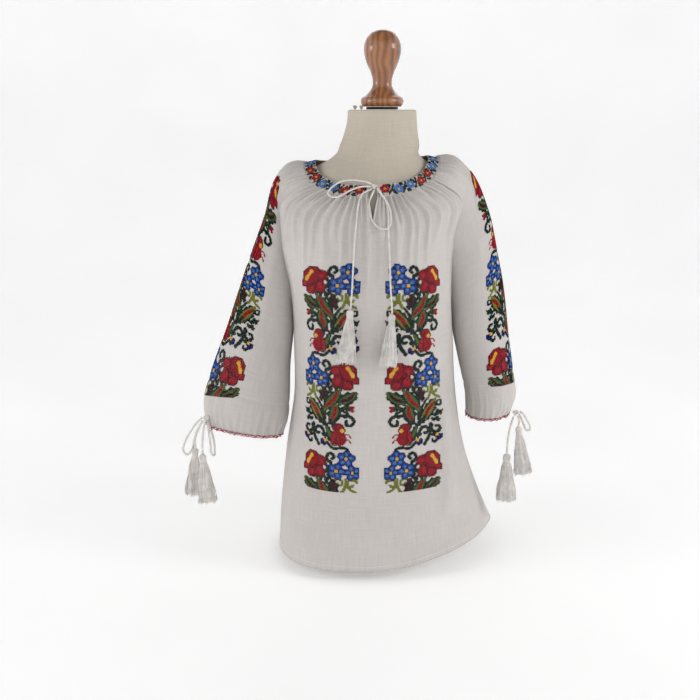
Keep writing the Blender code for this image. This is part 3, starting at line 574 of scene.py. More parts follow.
def sleeve_keys(side, seams, shoulder, rings, half_columns):
    """Key rows of a sleeve, each from the front seam over the outer line to the back seam."""
    degrees = np.linspace(SEAM_FRONT_DEG, SEAM_BACK_DEG, 2 * half_columns + 1) * side
    keys = [neckline(degrees)]
    turns = np.linspace(-1.0, 1.0, 241)[:, None]
    for seam, (x, y, z, half_turn) in zip(seams, shoulder):
        front = np.asarray(seam[:3])
        back = np.asarray(seam[3:])
        outer = np.asarray((x, y, z))
        limit = math.radians(half_turn)
        depth = (back - front) / (2.0 * math.sin(limit))
        out = (outer - (front + back) / 2.0) / (1.0 - math.cos(limit))
        angle = turns * limit
        keys.append(outer - out + out * np.cos(angle) + depth * np.sin(angle))
    for ring in rings:
        inner = np.asarray(ring[:3])
        outer = np.asarray(ring[3:6])
        depth = np.array((0.0, ring[6], 0.0))
        angle = turns * math.pi
        out = (outer - inner) / 2.0
        keys.append(inner + out + out * np.cos(angle) + depth * np.sin(angle))
    rows = [keys[0]]
    for key in keys[1:]:
        front_half = evenly(key[:121], half_columns + 1)
        back_half = evenly(key[120:], half_columns + 1)
        rows.append(np.concatenate([front_half, back_half[1:]]))
    return rows


# Surfaces of the shown cloth


class Surface:
    """A grid of points on the cloth, with its distances across and down and its normals."""

    def __init__(self, grid, down, middle):
        self.grid = grid
        self.down = np.asarray(down)
        self.middle = middle
        self.across = runs_of(grid, middle)
        self.normals = normals_of(grid)


def runs_of(grid, middle):
    """Distances across each row, from the middle column."""
    steps = np.linalg.norm(np.diff(grid, axis=1), axis=2)
    run = np.concatenate([np.zeros((len(grid), 1)), np.cumsum(steps, axis=1)], axis=1)
    return run - run[:, middle : middle + 1]


def gathers(columns, down, count, longest, height, seed):
    """Uneven small pleats that run down from a gathered edge, and lean a little as they fade."""
    random = np.random.default_rng(seed)
    place = np.linspace(0.0, 1.0, columns)[None, :]
    rise = np.zeros((len(down), columns))
    for centre in (np.arange(count) + 0.5) / count:
        centre += random.uniform(-0.25, 0.25) / count
        width = random.uniform(0.13, 0.25) / count
        length = longest * random.choice((0.35, 0.55, 0.75, 1.0)) * random.uniform(0.8, 1.1)
        lean = random.normal(0.0, 0.35) / count
        fade = np.clip(1.0 - down / length, 0.0, 1.0)[:, None]
        spread = width * (1.0 + 0.9 * (1.0 - fade))
        beside = np.exp(-(((place - centre - lean * (1.0 - fade)) / spread) ** 2))
        rise += height * random.uniform(0.55, 1.25) * fade**0.9 * beside
    return rise


def rumples(across, down, height, wave, seed):
    """Shallow uneven waves all over a panel, longer downwards than across."""
    random = np.random.default_rng(seed)
    total = np.zeros_like(across)
    for _ in range(9):
        heading = random.normal(0.0, 0.5)
        length = wave * random.uniform(0.6, 1.8)
        phase = random.uniform(0.0, 2.0 * math.pi)
        along = across * math.cos(heading) + down * math.sin(heading) * 0.6
        total += np.sin(2.0 * math.pi * along / length + phase)
    return total * height / 3.0


def creased(grid, down, folds, middle, gathered):
    """The grid with its folds, gathers and rumples raised along its normals."""
    across = runs_of(grid, middle)
    down_all = np.repeat(down[:, None], grid.shape[1], axis=1)
    height = fold_height(across, down_all, folds) * FOLD_DEPTH
    height += rumples(across, down_all, 0.00055, 0.075, seed=11)
    sunk = -DEEPEST * np.tanh(np.minimum(height, 0.0) / -DEEPEST)
    height = np.where(height < 0.0, sunk, height)
    beside = np.minimum(across - across[:, :1], across[:, -1:] - across) / 0.010
    height *= np.clip(beside, 0.0, 1.0)
    height *= np.clip(down_all / 0.006, 0.0, 1.0)
    return grid + normals_of(grid) * (height + gathered)[:, :, None]


def hemmed(surface_down, height_of_all):
    """Raised double cloth of a turned hem, with the pull of its stitches along the top."""
    from_edge = surface_down[-1] - surface_down
    raised = 0.00025 * np.clip((HEM - from_edge) / 0.0012 + 0.5, 0.0, 1.0)
    pulled = -0.00035 * np.exp(-(((from_edge - HEM) / 0.0013) ** 2))
    return height_of_all + (raised + pulled)[:, None]


def body_grid(rows, edge_degrees, seams, sides, half, pleats, seed):
    """A body panel's points, distances down and gathers. Seams and sides are its edges' tables."""
    edge = neckline(edge_degrees)
    left = seams[0] + list(sides[0])
    right = seams[1] + list(sides[1])
    keys = panel_keys(edge, rows, left, right, half)
    grid, down = loft(keys, row_places(RAGLAN_ROWS + SIDE_ROWS))
    pin_panel(grid, [edge[0]] + left, [edge[-1]] + right, SIDE_ROWS)
    gathered = gathers(2 * half + 1, down, *pleats, seed=seed)
    return grid, down, hemmed(down, gathered)


def front_surface():
    """The front panel, with room for the slit at its centre."""
    half = FRONT_HALF_COLUMNS
    degrees = np.linspace(-SEAM_FRONT_DEG, SEAM_FRONT_DEG, 2 * half + 1)
    seams = ([row[:3] for row in LEFT_SEAMS], [row[:3] for row in RIGHT_SEAMS])
    sides = (LEFT_SIDE, RIGHT_SIDE)
    grid, down, gathered = body_grid(FRONT_ROWS, degrees, seams, sides, half, FRONT_PLEATS, seed=3)
    grid = creased(grid, down, FRONT_FOLDS, half, gathered)
    for row in range(SLIT_ROWS):
        open_by = SLIT_TOP_HALF * (1.0 - row / SLIT_ROWS)
        for beside in range(1, SLIT_SPREAD):
            shift = open_by * (1.0 - beside / SLIT_SPREAD)
            grid[row, half - beside, 0] -= shift
            grid[row, half + beside, 0] += shift
    return Surface(trimmed(grid), down, half)


def back_surface():
    """The back panel."""
    half = BACK_HALF_COLUMNS
    degrees = np.linspace(360 - SEAM_BACK_DEG, SEAM_BACK_DEG, 2 * half + 1)
    seams = ([row[3:] for row in LEFT_SEAMS], [row[3:] for row in RIGHT_SEAMS])
    sides = (LEFT_SIDE, RIGHT_SIDE)
    grid, down, gathered = body_grid(BACK_ROWS, degrees, seams, sides, half, BACK_PLEATS, seed=5)
    grid = creased(grid[:, ::-1], down, BACK_FOLDS, half, gathered)
    return Surface(trimmed(grid), down, half)


def sleeve_surface(side, seams, shoulder, rings, seed):
    """A sleeve, gathered on the band and at its cuff."""
    half = SLEEVE_HALF_COLUMNS
    above = sum(RAGLAN_ROWS)
    keys = sleeve_keys(side, seams, shoulder, rings, half)
    grid, down = loft(keys, row_places(RAGLAN_ROWS + RING_ROWS))
    front = [keys[0][0]] + [row[:3] for row in seams]
    back = [keys[0][-1]] + [row[3:] for row in seams]
    for column, points in ((0, front), (-1, back)):
        pinned(grid, slice(0, above + 1), column, line_at(points, row_places(RAGLAN_ROWS)))
    if side < 0:
        grid = grid[:, ::-1]
    gathered = gathers(2 * half + 1, down, *SLEEVE_PLEATS, seed=seed)
    cuff = gathers(2 * half + 1, down[-1] - down, *CUFF_PLEATS, seed=seed + 1)
    at_line = np.exp(-(((down[-1] - down - CUFF_GATHER) / 0.0022) ** 2))
    cuff -= 0.0009 * at_line[:, None]
    grid = creased(grid, down, SLEEVE_FOLDS, half, gathered + cuff)
    grid = trimmed(grid, left=above, right=above)
    grid[above, 0] += normed(grid[above, half] - grid[above, 0]) * SEAM * 2
    grid[above:, -1] = grid[above:, 0]
    return Surface(grid, down, half)


def band_surface():
    """The neck band, rounded between its edges, from the slit's right side round to its left."""
    degrees = np.linspace(BAND_OPEN_DEG, 360 - BAND_OPEN_DEG, BAND_COLUMNS)
    upper = neckline(degrees, top=True)
    lower = neckline(degrees)
    share = np.linspace(0.0, 1.0, BAND_ROWS)[:, None, None]
    grid = upper * (1.0 - share) + lower * share
    crown = BAND_CROWN * np.sin(np.pi * share) ** 0.6
    across = runs_of(grid, BAND_COLUMNS // 2)
    puckers = rumples(across, np.zeros_like(across), 0.00018, 0.011, seed=8)
    grid += normals_of(grid) * (crown + puckers[:, :, None])
    grid[-1] += normed(grid[-2] - grid[-1]) * SEAM
    down = np.linspace(0.0, float(np.linalg.norm(grid[0] - grid[-1], axis=1).mean()), BAND_ROWS)
    surface = Surface(grid, down, BAND_COLUMNS // 2)
    surface.across = np.repeat(surface.across[BAND_ROWS // 2][None, :], BAND_ROWS, axis=0)
    return surface


# Materials


def srgb(red, green, blue):
    """Linear colour of 0 to 255 display values."""
    values = np.array([red, green, blue]) / 255.0
    linear = np.where(values <= 0.04045, values / 12.92, ((values + 0.055) / 1.055) ** 2.4)
    return (*(float(v) for v in linear), 1.0)


def new_material(name, roughness, sheen=0.0, coat=0.0, specular=0.5):
    """A material with a Principled shader whose constant values are set on its own sockets."""
    made = bpy.data.materials.new(name)
    made.use_nodes = True
    shader = made.node_tree.nodes["Principled BSDF"]
    for socket, value in (
        ("Roughness", roughness),
        ("Sheen Weight", sheen),
        ("Sheen Roughness", 0.5),
        ("Coat Weight", coat),
        ("Coat Roughness", 0.12),
        ("Specular IOR Level", specular),
    ):
        shader.inputs[socket].default_value = value
    return made, made.node_tree, shader


def add_node(tree, kind, values):
    """A shader node whose inputs take numbers or other nodes' outputs."""
    node = tree.nodes.new("ShaderNode" + kind)
    for socket, value in values.items():
        if isinstance(value, bpy.types.NodeSocket):
            tree.links.new(value, node.inputs[socket])
        else:
            node.inputs[socket].default_value = value
    return node


def math_node(tree, operation, *values):
    """The output of a Math node on sockets or numbers."""
    node = add_node(tree, "Math", dict(enumerate(values)))
    node.operation = operation
    return node.outputs[0]


def noise_node(tree, coordinates, scale, stretch=(1.0, 1.0, 1.0), detail=3.0):
    """The output of a noise texture on stretched coordinates."""
    place = add_node(tree, "Mapping", {"Scale": stretch, "Vector": coordinates}).outputs[0]
    values = {"Scale": scale, "Detail": detail, "Vector": place}
    return add_node(tree, "TexNoise", values).outputs["Fac"]


def ramp_node(tree, value, stops):
    """The output of a colour ramp of (place, colour) stops."""
    node = add_node(tree, "ValToRGB", {"Fac": value})
    elements = node.color_ramp.elements
    while len(elements) < len(stops):
        elements.new(0.5)
    for element, (place, colour) in zip(elements, stops):
        element.position = place
        element.color = colour
    return node.outputs["Color"]


def bump_node(tree, height, strength, distance, shader):
    """Bump from a height, joined to the shader's normal."""
    values = {"Strength": strength, "Distance": distance, "Height": height}
    tree.links.new(add_node(tree, "Bump", values).outputs["Normal"], shader.inputs["Normal"])


def woven(name, light, dark, thread, roughness, sheen, depth):
    """Plain-woven cloth on UVs in metres: crossing threads, slubs and soft patches of shade."""
    made, tree, shader = new_material(name, roughness, sheen=sheen, specular=0.25)
    place = tree.nodes.new("ShaderNodeUVMap").outputs["UV"]
    split = add_node(tree, "SeparateXYZ", {"Vector": place})
    turn = 2.0 * math.pi / thread
    warp = math_node(tree, "SINE", math_node(tree, "MULTIPLY", split.outputs["X"], turn))
    weft = math_node(tree, "SINE", math_node(tree, "MULTIPLY", split.outputs["Y"], turn))
    weave = math_node(tree, "MULTIPLY", warp, weft)
    slub_x = noise_node(tree, place, 900.0, (1.0, 0.04, 1.0))
    slub_y = noise_node(tree, place, 900.0, (0.04, 1.0, 1.0))
    slubs = math_node(tree, "ADD", slub_x, slub_y)
    height = math_node(tree, "ADD", math_node(tree, "MULTIPLY", weave, 0.35), slubs)
    bump_node(tree, height, depth, thread * 0.5, shader)
    patches = noise_node(tree, place, 9.0, (1.0, 0.6, 1.0), detail=2.0)
    patches = math_node(tree, "MULTIPLY", patches, 0.35)
    shade = math_node(tree, "ADD", math_node(tree, "MULTIPLY", slubs, 0.40), patches)
    stops = ((0.35, dark), (0.80, light))
    tree.links.new(ramp_node(tree, shade, stops), shader.inputs["Base Color"])
    return made


def thread_material(name):
    """Cotton embroidery thread: each stitch's own colour, with fine strands along it."""
    made, tree, shader = new_material(name, 0.75, specular=0.15)
    colour = tree.nodes.new("ShaderNodeAttribute")
    colour.attribute_name = "thread"
    place = tree.nodes.new("ShaderNodeTexCoord").outputs["Object"]
    fibres = noise_node(tree, place, 2600.0, (1.0, 1.0, 0.5))
    shade = ramp_node(tree, fibres, ((0.25, (0.72, 0.72, 0.72, 1.0)), (0.75, (1.0, 1.0, 1.0, 1.0))))
    mix = tree.nodes.new("ShaderNodeMix")
    mix.data_type = "RGBA"
    mix.blend_type = "MULTIPLY"
    mix.inputs["Factor"].default_value = 1.0
    tree.links.new(colour.outputs["Color"], mix.inputs["A"])
    tree.links.new(shade, mix.inputs["B"])
    tree.links.new(mix.outputs["Result"], shader.inputs["Base Color"])
    bump_node(tree, fibres, 0.35, 0.0001, shader)
    return made


def fibre_material(name, light, dark, roughness=0.8):
    """Soft cotton or felt, with a fine uneven surface."""
    made, tree, shader = new_material(name, roughness, sheen=0.4, specular=0.25)
    place = tree.nodes.new("ShaderNodeTexCoord").outputs["Object"]
    fibres = noise_node(tree, place, 1800.0, (1.0, 1.0, 0.35))
    cloudy = noise_node(tree, place, 140.0)
    shade = math_node(tree, "MULTIPLY", math_node(tree, "ADD", fibres, cloudy), 0.5)
    stops = ((0.35, dark), (0.62, light))
    tree.links.new(ramp_node(tree, shade, stops), shader.inputs["Base Color"])
    bump_node(tree, fibres, 0.4, 0.0002, shader)
    return made


def wood_material():
    """Turned hardwood under a glossy varnish, with its grain running up the knob."""
    made, tree, shader = new_material("varnished_wood", 0.38, coat=0.85, specular=0.5)
    place = tree.nodes.new("ShaderNodeTexCoord").outputs["Object"]
    bend = noise_node(tree, place, 22.0, (1.0, 1.0, 0.4))
    split = add_node(tree, "SeparateXYZ", {"Vector": place})
    wander = math_node(tree, "MULTIPLY", bend, 0.030)
    across = math_node(tree, "ADD", split.outputs["X"], wander)
    rings = math_node(tree, "SINE", math_node(tree, "MULTIPLY", across, 900.0))
    pores = noise_node(tree, place, 1400.0, (1.0, 1.0, 0.05))
    grain = math_node(tree, "ADD", math_node(tree, "MULTIPLY", rings, 0.16), bend)
    grain = math_node(tree, "ADD", grain, math_node(tree, "MULTIPLY", pores, 0.25))
    stops = (
        (0.30, srgb(84, 45, 22)),
        (0.60, srgb(136, 82, 44)),
        (0.90, srgb(170, 112, 66)),
    )
    tree.links.new(ramp_node(tree, grain, stops), shader.inputs["Base Color"])
    bump_node(tree, pores, 0.08, 0.0002, shader)
    return made


# Meshes


def add_piece(name, mesh, made_of, stands_for=()):
    """Links a finished mesh as a piece of the object, in the part's one body."""
    piece = bpy.data.objects.new(name, mesh)
    mesh.materials.append(made_of)
    bpy.context.scene.collection.objects.link(piece)
    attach(piece, "root")
    if stands_for:
        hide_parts(*stands_for)
    return piece


def mesh_from(name, points, faces, corner_uvs=None):
    """A smooth mesh, with UVs for each face's corners where they are given."""
    mesh = bpy.data.meshes.new(name)
    mesh.from_pydata(np.asarray(points).tolist(), [], faces)
    mesh.shade_smooth()
    if corner_uvs is not None:
        layer = mesh.uv_layers.new(name="cloth")
        layer.data.foreach_set("uv", np.asarray(corner_uvs, np.float32).ravel())
    return mesh


def shell(name, surface, made_of, slot, stands_for, closed_from=None, slit_rows=0):
    """A thin cloth wall on a surface, with UVs in metres.

    From row closed_from on, the last column joins the first. The first slit_rows rows are parted
    at the middle column.
    """
    grid = surface.grid
    rows, columns = grid.shape[:2]
    points = grid.reshape(-1, 3).tolist()
    index = np.arange(rows * columns).reshape(rows, columns)
    if closed_from is not None:
        index[closed_from:, -1] = index[closed_from:, 0]
    right_index = index.copy()
    middle = surface.middle
    for row in range(slit_rows):
        half = SLIT_TOP_HALF * (1.0 - row / slit_rows)
        x, y, z = points[index[row, middle]]
        points[index[row, middle]] = [x - half, y, z]
        right_index[row, middle] = len(points)
        points.append([x + half, y, z])
    u = surface.across[rows // 2]
    v = surface.down
    faces = []
    uvs = []
    for row in range(rows - 1):
        for column in range(columns - 1):
            use = right_index if column >= middle else index
            corners = ((row, column), (row + 1, column), (row + 1, column + 1), (row, column + 1))
            faces.append([int(use[corner]) for corner in corners])
            uvs.extend((u[c], v[r]) for r, c in corners)
    used = sorted({corner for face in faces for corner in face})
    place = {old: new for new, old in enumerate(used)}
    faces = [[place[corner] for corner in face] for face in faces]
    mesh = mesh_from(name, [points[old] for old in used], faces, uvs)
    piece = add_piece(name, mesh, made_of, stands_for)
    wall = piece.modifiers.new("wall", "SOLIDIFY")
    wall.thickness = COTTON
    wall.offset = -1.0
    wall.use_even_offset = False
    return piece


def joined(parts):
    """One list of points and one of faces from several."""
    points = []
    faces = []
    for part_points, part_faces in parts:
        start = len(points)
        points.extend(np.asarray(part_points).tolist())
        faces.extend([[corner + start for corner in face] for face in part_faces])
    return points, faces


def frames_along(line):
    """Two unit vectors square to a line at each of its points, without twist between points."""
    tangents = normed(np.gradient(line, axis=0))
    side = np.cross(tangents[0], (0.0, 0.0, 1.0))
    if np.linalg.norm(side) < 1e-3:
        side = np.cross(tangents[0], (1.0, 0.0, 0.0))
    sides = []
    for tangent in tangents:
        side = normed(side - tangent * np.dot(side, tangent))
        sides.append(side)
    sides = np.array(sides)
    return sides, np.cross(tangents, sides)


def tube(line, radii, sides, plies=0, lay=1.0, closed=False):
    """Points and faces of a tube along a line. With plies, its section is lobed and turns."""
    line = np.asarray(line, float)
    first, second = frames_along(line)
    run = run_along(line)
    angle = np.linspace(0.0, 2.0 * math.pi, sides, endpoint=False)[None, :]
    radii = np.broadcast_to(np.asarray(radii, float), (len(line),))[:, None]
    if plies:
        turn = 2.0 * math.pi * run[:, None] / lay
        radii = radii * (0.87 + 0.13 * np.cos(plies * (angle - turn)))
    else:
        radii = np.repeat(radii, sides, axis=1)
    angle = angle[:, :, None]
    ring = first[:, None, :] * np.cos(angle) + second[:, None, :] * np.sin(angle)
    points = (line[:, None, :] + ring * radii[:, :, None]).reshape(-1, 3)
    count = len(line)
    faces = []
    for row in range(count if closed else count - 1):
        below = (row + 1) % count
        for column in range(sides):
            after = (column + 1) % sides
            corners = ((row, column), (row, after), (below, after), (below, column))
            faces.append([r * sides + c for r, c in corners])
    if not closed:
        faces.append(list(range(sides))[::-1])
        faces.append(list(range((count - 1) * sides, count * sides)))
    return points, faces


def lathe(profile, steps):
    """Points and faces of a turned shape from (radius, height) rows, top to bottom."""
    angle = np.linspace(0.0, 2.0 * math.pi, steps, endpoint=False)
    points = [(0.0, 0.0, profile[0][1])]
    rings = profile[1:-1]
    for radius, height in rings:
        ring = np.stack([radius * np.cos(angle), radius * np.sin(angle)], axis=1)
        points.extend((x, y, height) for x, y in ring)
    points.append((0.0, 0.0, profile[-1][1]))
    faces = []
    for column in range(steps):
        after = (column + 1) % steps
        faces.append([0, 1 + column, 1 + after])
        for row in range(len(rings) - 1):
            top = 1 + row * steps
            low = top + steps
            faces.append([top + column, low + column, low + after, top + after])
        last = 1 + (len(rings) - 1) * steps
        faces.append([last + after, last + column, len(points) - 1])
    return points, faces


def smooth_profile(profile, count):
    """A turned profile read at more places, with its first and last rows kept."""
    keys = np.asarray(profile, float)
    run = run_along(keys)
    return through(run, keys, np.linspace(0.0, run[-1], count))


# Embroidery charts

CRIMSON = 1
DARK_RED = 2
ROSE_RED = 3
YELLOW = 4
BLUE = 5
NAVY = 6
LIGHT_BLUE = 7
DARK_GREEN = 8
LEAF_GREEN = 9
OLIVE = 10
MAROON = 11
THREADS = {
    CRIMSON: srgb(150, 14, 32),
    DARK_RED: srgb(88, 8, 26),
    ROSE_RED: srgb(172, 26, 44),
    YELLOW: srgb(234, 184, 62),
    BLUE: srgb(30, 70, 150),
    NAVY: srgb(16, 22, 92),
    LIGHT_BLUE: srgb(74, 126, 192),
    DARK_GREEN: srgb(14, 38, 30),
    LEAF_GREEN: srgb(76, 104, 46),
    OLIVE: srgb(122, 128, 46),
    MAROON: srgb(62, 10, 26),
}


def shrunk(mask):
    """The mask without the stitches on its edge."""
    wide = np.pad(mask, 1)
    return mask & wide[:-2, 1:-1] & wide[2:, 1:-1] & wide[1:-1, :-2] & wide[1:-1, 2:]


def oval(chart, x, y, long, short, degrees, fill, edge=None):
    """A filled oval of stitches, with an outline where edge is given."""
    rows, columns = np.indices(chart.shape)
    angle = math.radians(degrees)
    offset_x = columns + 0.5 - x
    offset_y = rows + 0.5 - y
    along = offset_x * math.cos(angle) + offset_y * math.sin(angle)
    beside = offset_y * math.cos(angle) - offset_x * math.sin(angle)
    inside = (along / long) ** 2 + (beside / short) ** 2 <= 1.0
    chart[inside] = fill
    if edge is not None:
        chart[inside & ~shrunk(inside)] = edge


def stroke(chart, points, width, colour):
    """A smooth line of stitches through the points. Width may be one number or one a point."""
    points = np.asarray(points, float)
    run = run_along(points)
    at = np.linspace(0.0, run[-1], max(3, int(run[-1] * 3)))
    widths = np.interp(at, run, np.broadcast_to(np.asarray(width, float), (len(points),)))
    rows, columns = np.indices(chart.shape)
    for (x, y), wide in zip(through(run, points, at), widths):
        near = np.hypot(columns + 0.5 - x, rows + 0.5 - y) <= max(0.55, wide / 2)
        chart[near] = colour


def curl(chart, x, y, radius, start, turn, width, colour):
    """A scroll that winds in round a centre. Start and turn are in degrees, clockwise."""
    angle = np.radians(start + np.linspace(0.0, turn, 24))
    reach = radius * np.linspace(1.0, 0.30, 24)
    points = np.stack([x + reach * np.cos(angle), y + reach * np.sin(angle)], axis=1)
    stroke(chart, points, np.linspace(width, width * 0.8, 24), colour)


def leaf(chart, base, tip, width, edge, fill, core=None):
    """A pointed leaf from base to tip, with a toothed rim and, where core is given, a heart."""
    rows, columns = np.indices(chart.shape)
    base = np.asarray(base, float)
    line = np.asarray(tip, float) - base
    length = float(np.hypot(*line))
    offset_x = columns + 0.5 - base[0]
    offset_y = rows + 0.5 - base[1]
    along = (offset_x * line[0] + offset_y * line[1]) / length**2
    side = (offset_x * line[1] - offset_y * line[0]) / length
    taper = np.sin(np.pi * np.clip(along, 0.0, 1.0)) ** 0.7
    teeth = 0.55 * np.sign(np.sin(along * length * 1.1 + np.sign(side)))
    within = (along > 0.0) & (along < 1.0)
    chart[within & (np.abs(side) <= width / 2 * taper + teeth)] = edge
    chart[within & (np.abs(side) <= (width / 2 - 2.3) * taper)] = fill
    if core is not None:
        heart = np.abs(side + 0.7 * np.sin(along * 9.0)) <= width * 0.15 * taper
        chart[(along > 0.14) & (along < 0.86) & heart] = core


def rose(chart, x, y, size, lean=0.0):
    """A full garden rose of overlapping petals, with dark folds and a slanted yellow heart."""
    petals = (
        # across, down, long, short, degrees
        (7.6, -3.6, 5.6, 5.0, 10),
        (-1.0, 9.2, 6.2, 4.6, -15),
        (6.2, 5.6, 6.8, 5.0, 60),
        (-8.4, 4.4, 4.8, 3.6, -20),
        (-1.2, -2.6, 9.2, 8.6, -30),
    )

    def at(across, down):
        return x + across * size, y + down * size

    for across, down, long, short, degrees in petals:
        oval(chart, *at(across, down), long * size, short * size, degrees + lean, CRIMSON, DARK_RED)
    for across, down, long, short, degrees in petals[:4]:
        smaller = (long * size * 0.45, short * size * 0.4)
        oval(chart, *at(across, down), *smaller, degrees + lean, ROSE_RED)
    for width, colour, line in (
        (1.3, DARK_RED, ((3.4, -9.0), (5.0, -3.4), (1.0, 3.4), (-5.6, 6.2))),
        (1.2, DARK_RED, ((9.0, 1.0), (4.6, 1.6), (2.4, 7.4), (1.0, 12.4))),
        ((3.4 * size, 2.4 * size, 3.6 * size), YELLOW, ((-2.2, -6.6), (-4.2, -3.4), (-6.4, 0.4))),
    ):
        stroke(chart, [at(*place) for place in line], width, colour)


def forget_me_not(chart, x, y, radius, lean=0.0):
    """A small blue flower of five round petals about a yellow eye."""
    for out, long, short, colours in (
        (0.60, 0.50, 0.47, (BLUE, NAVY)),
        (0.55, 0.24, 0.17, (LIGHT_BLUE,)),
    ):
        for petal in range(5):
            angle = math.radians(lean - 90 + 72 * petal)
            reach = radius * out
            centre = (x + reach * math.cos(angle), y + reach * math.sin(angle))
            oval(chart, *centre, radius * long, radius * short, math.degrees(angle), *colours)
    oval(chart, x, y, radius * 0.30, radius * 0.30, 0, NAVY)
    oval(chart, x, y, radius * 0.20, radius * 0.20, 0, YELLOW)


def half_open_rose(chart, x, y):
    """A smaller rose seen from the side, with tendrils and a dot of yellow."""
    leaf(chart, (x + 3, y + 12), (x + 12, y - 6), 8.0, DARK_GREEN, LEAF_GREEN)
    oval(chart, x, y - 4, 5.6, 6.4, 25, CRIMSON, DARK_RED)
    oval(chart, x - 0.5, y + 5, 6.4, 6.6, 0, CRIMSON)
    oval(chart, x + 5, y + 4, 2.6, 7.2, -12, ROSE_RED, DARK_RED)
    stroke(chart, ((x + 2, y - 6), (x + 2.6, y + 2), (x + 2, y + 10)), 1.2, DARK_RED)
    stroke(chart, ((x - 5, y + 1), (x - 9, y + 1), (x - 10.5, y + 3.5)), 1.3, CRIMSON)
    stroke(chart, ((x - 5, y + 6), (x - 9, y + 6), (x - 10.5, y + 8.5)), 1.3, CRIMSON)
    oval(chart, x - 3, y - 3, 1.6, 2.2, 0, YELLOW)


def red_bud(chart, x, y, lean):
    """A bud in a green cup: lean turns it, in degrees."""
    angle = math.radians(lean)
    ahead = (math.cos(angle), math.sin(angle))
    tip = (x + 7 * ahead[0], y + 7 * ahead[1])
    leaf(chart, (x - 1.5 * ahead[0], y - 1.5 * ahead[1]), tip, 6.4, CRIMSON, ROSE_RED)
    oval(chart, x + 0.4 * ahead[0], y + 0.4 * ahead[1], 2.4, 2.6, lean, LEAF_GREEN, DARK_GREEN)


def unit():
    """One repeat of the flower column: rose at the outer top, forget-me-nots at the inner top."""
    chart = np.zeros((UNIT_TALL, COLUMN_WIDE), int)
    # stems
    for width, points in (
        (2.6, ((22, 20), (26, 30), (32, 40), (31, 50), (32, 62))),
        (2.6, ((20, 30), (24, 24), (27, 18), (26, 14))),
        (2.4, ((31, 62), (29, 70), (31, 78), (26, 85))),
        (2.6, ((32, 58), (34, 50), (39, 42), (43, 38))),
        (2.4, ((30, 54), (22, 56), (16, 50), (10, 52))),
    ):
        stroke(chart, points, width, DARK_GREEN)
    # top: curl, sprigs, olive scrolls
    curl(chart, 31.0, 7.0, 5.2, 95, 330, 3.4, DARK_GREEN)
    for base, tip in (
        ((21, 27), (27, 19)),
        ((24, 31), (31, 26)),
        ((22, 23), (20, 15)),
        ((27, 26), (30, 19)),
        ((18, 30), (16, 25)),
    ):
        leaf(chart, base, tip, 4.4, DARK_GREEN, DARK_GREEN)
    curl(chart, 38.0, 32.0, 4.6, 200, 320, 2.6, OLIVE)
    curl(chart, 49.0, 33.0, 5.4, -20, -320, 2.6, OLIVE)
    stroke(chart, ((44, 28), (44, 34), (41, 41)), 2.8, OLIVE)
    stroke(chart, ((44, 33), (48, 38), (53, 41)), 2.2, OLIVE)
    # middle: red-hearted leaves and a bud
    for base, tip, width, *colours in (
        ((19, 44), (1.0, 32), 11.5, LEAF_GREEN, MAROON),
        ((33, 52), (16, 29), 12.0, LEAF_GREEN, CRIMSON),
        ((36, 43), (31, 28), 8.6, MAROON),
        ((25, 63), (20, 43), 12.0, LEAF_GREEN, CRIMSON),
        ((33, 64), (50, 41), 12.5, OLIVE, CRIMSON),
        ((30, 66), (40, 56), 4.6, DARK_GREEN),
    ):
        leaf(chart, base, tip, width, DARK_GREEN, *colours)
    red_bud(chart, 10.5, 48, 186)
    oval(chart, 3.8, 48, 1.3, 1.6, 0, 0)
    leaf(chart, (17, 50), (8, 43), 5.0, DARK_GREEN, LEAF_GREEN)
    leaf(chart, (28, 60), (20, 66), 4.6, DARK_GREEN, DARK_GREEN)
    # inner side: small scroll and leaves
    curl(chart, 52.0, 45.0, 3.6, 160, -300, 2.2, DARK_GREEN)
    leaf(chart, (46, 58), (56, 53), 5.2, DARK_GREEN, DARK_GREEN)
    leaf(chart, (44, 61), (55, 62), 4.4, DARK_GREEN, DARK_GREEN)
    # lower scrolls
    for x, y, radius, start, turn, width in (
        (9.5, 60.5, 6.2, -60, -330, 3.4),
        (27.0, 66.0, 3.8, 190, 280, 2.2),
        (38.0, 71.5, 5.6, 150, 330, 3.4),
        (50.0, 70.0, 5.6, 210, -320, 3.4),
        (47.5, 81.0, 4.6, 250, 300, 3.0),
    ):
        curl(chart, x, y, radius, start, turn, width, DARK_GREEN)
    stroke(chart, ((11, 54), (17, 55), (22, 61), (24, 66)), 2.8, DARK_GREEN)
    stroke(chart, ((44, 66), (43, 76), (38, 84)), 3.4, DARK_GREEN)
    half_open_rose(chart, 18, 72)
    stroke(chart, ((28, 82), (24, 86), (12, 86), (10, 88)), 2.8, DARK_GREEN)
    for x, y in ((33.0, 81.5), (53.0, 79.0)):
        oval(chart, x, y, 3.6, 2.8, -35, NAVY)
        oval(chart, x - 2.2, y - 2.2, 1.7, 1.5, 0, YELLOW)
    # flowers
    forget_me_not(chart, 44.5, 8.0, 7.9, 8)
    forget_me_not(chart, 50.0, 21.5, 7.2, -14)
    forget_me_not(chart, 35.5, 20.5, 7.9, 20)
    rose(chart, 12.4, 15.6, 1.06)
    return chart


def column_chart(tall):
    """The flower column: the unit, its mirror image and so on, cut off straight at its foot."""
    one = unit()
    count = -(-tall // UNIT_TALL)
    repeats = [one if step % 2 == 0 else one[:, ::-1] for step in range(count)]
    return np.concatenate(repeats)[:tall]


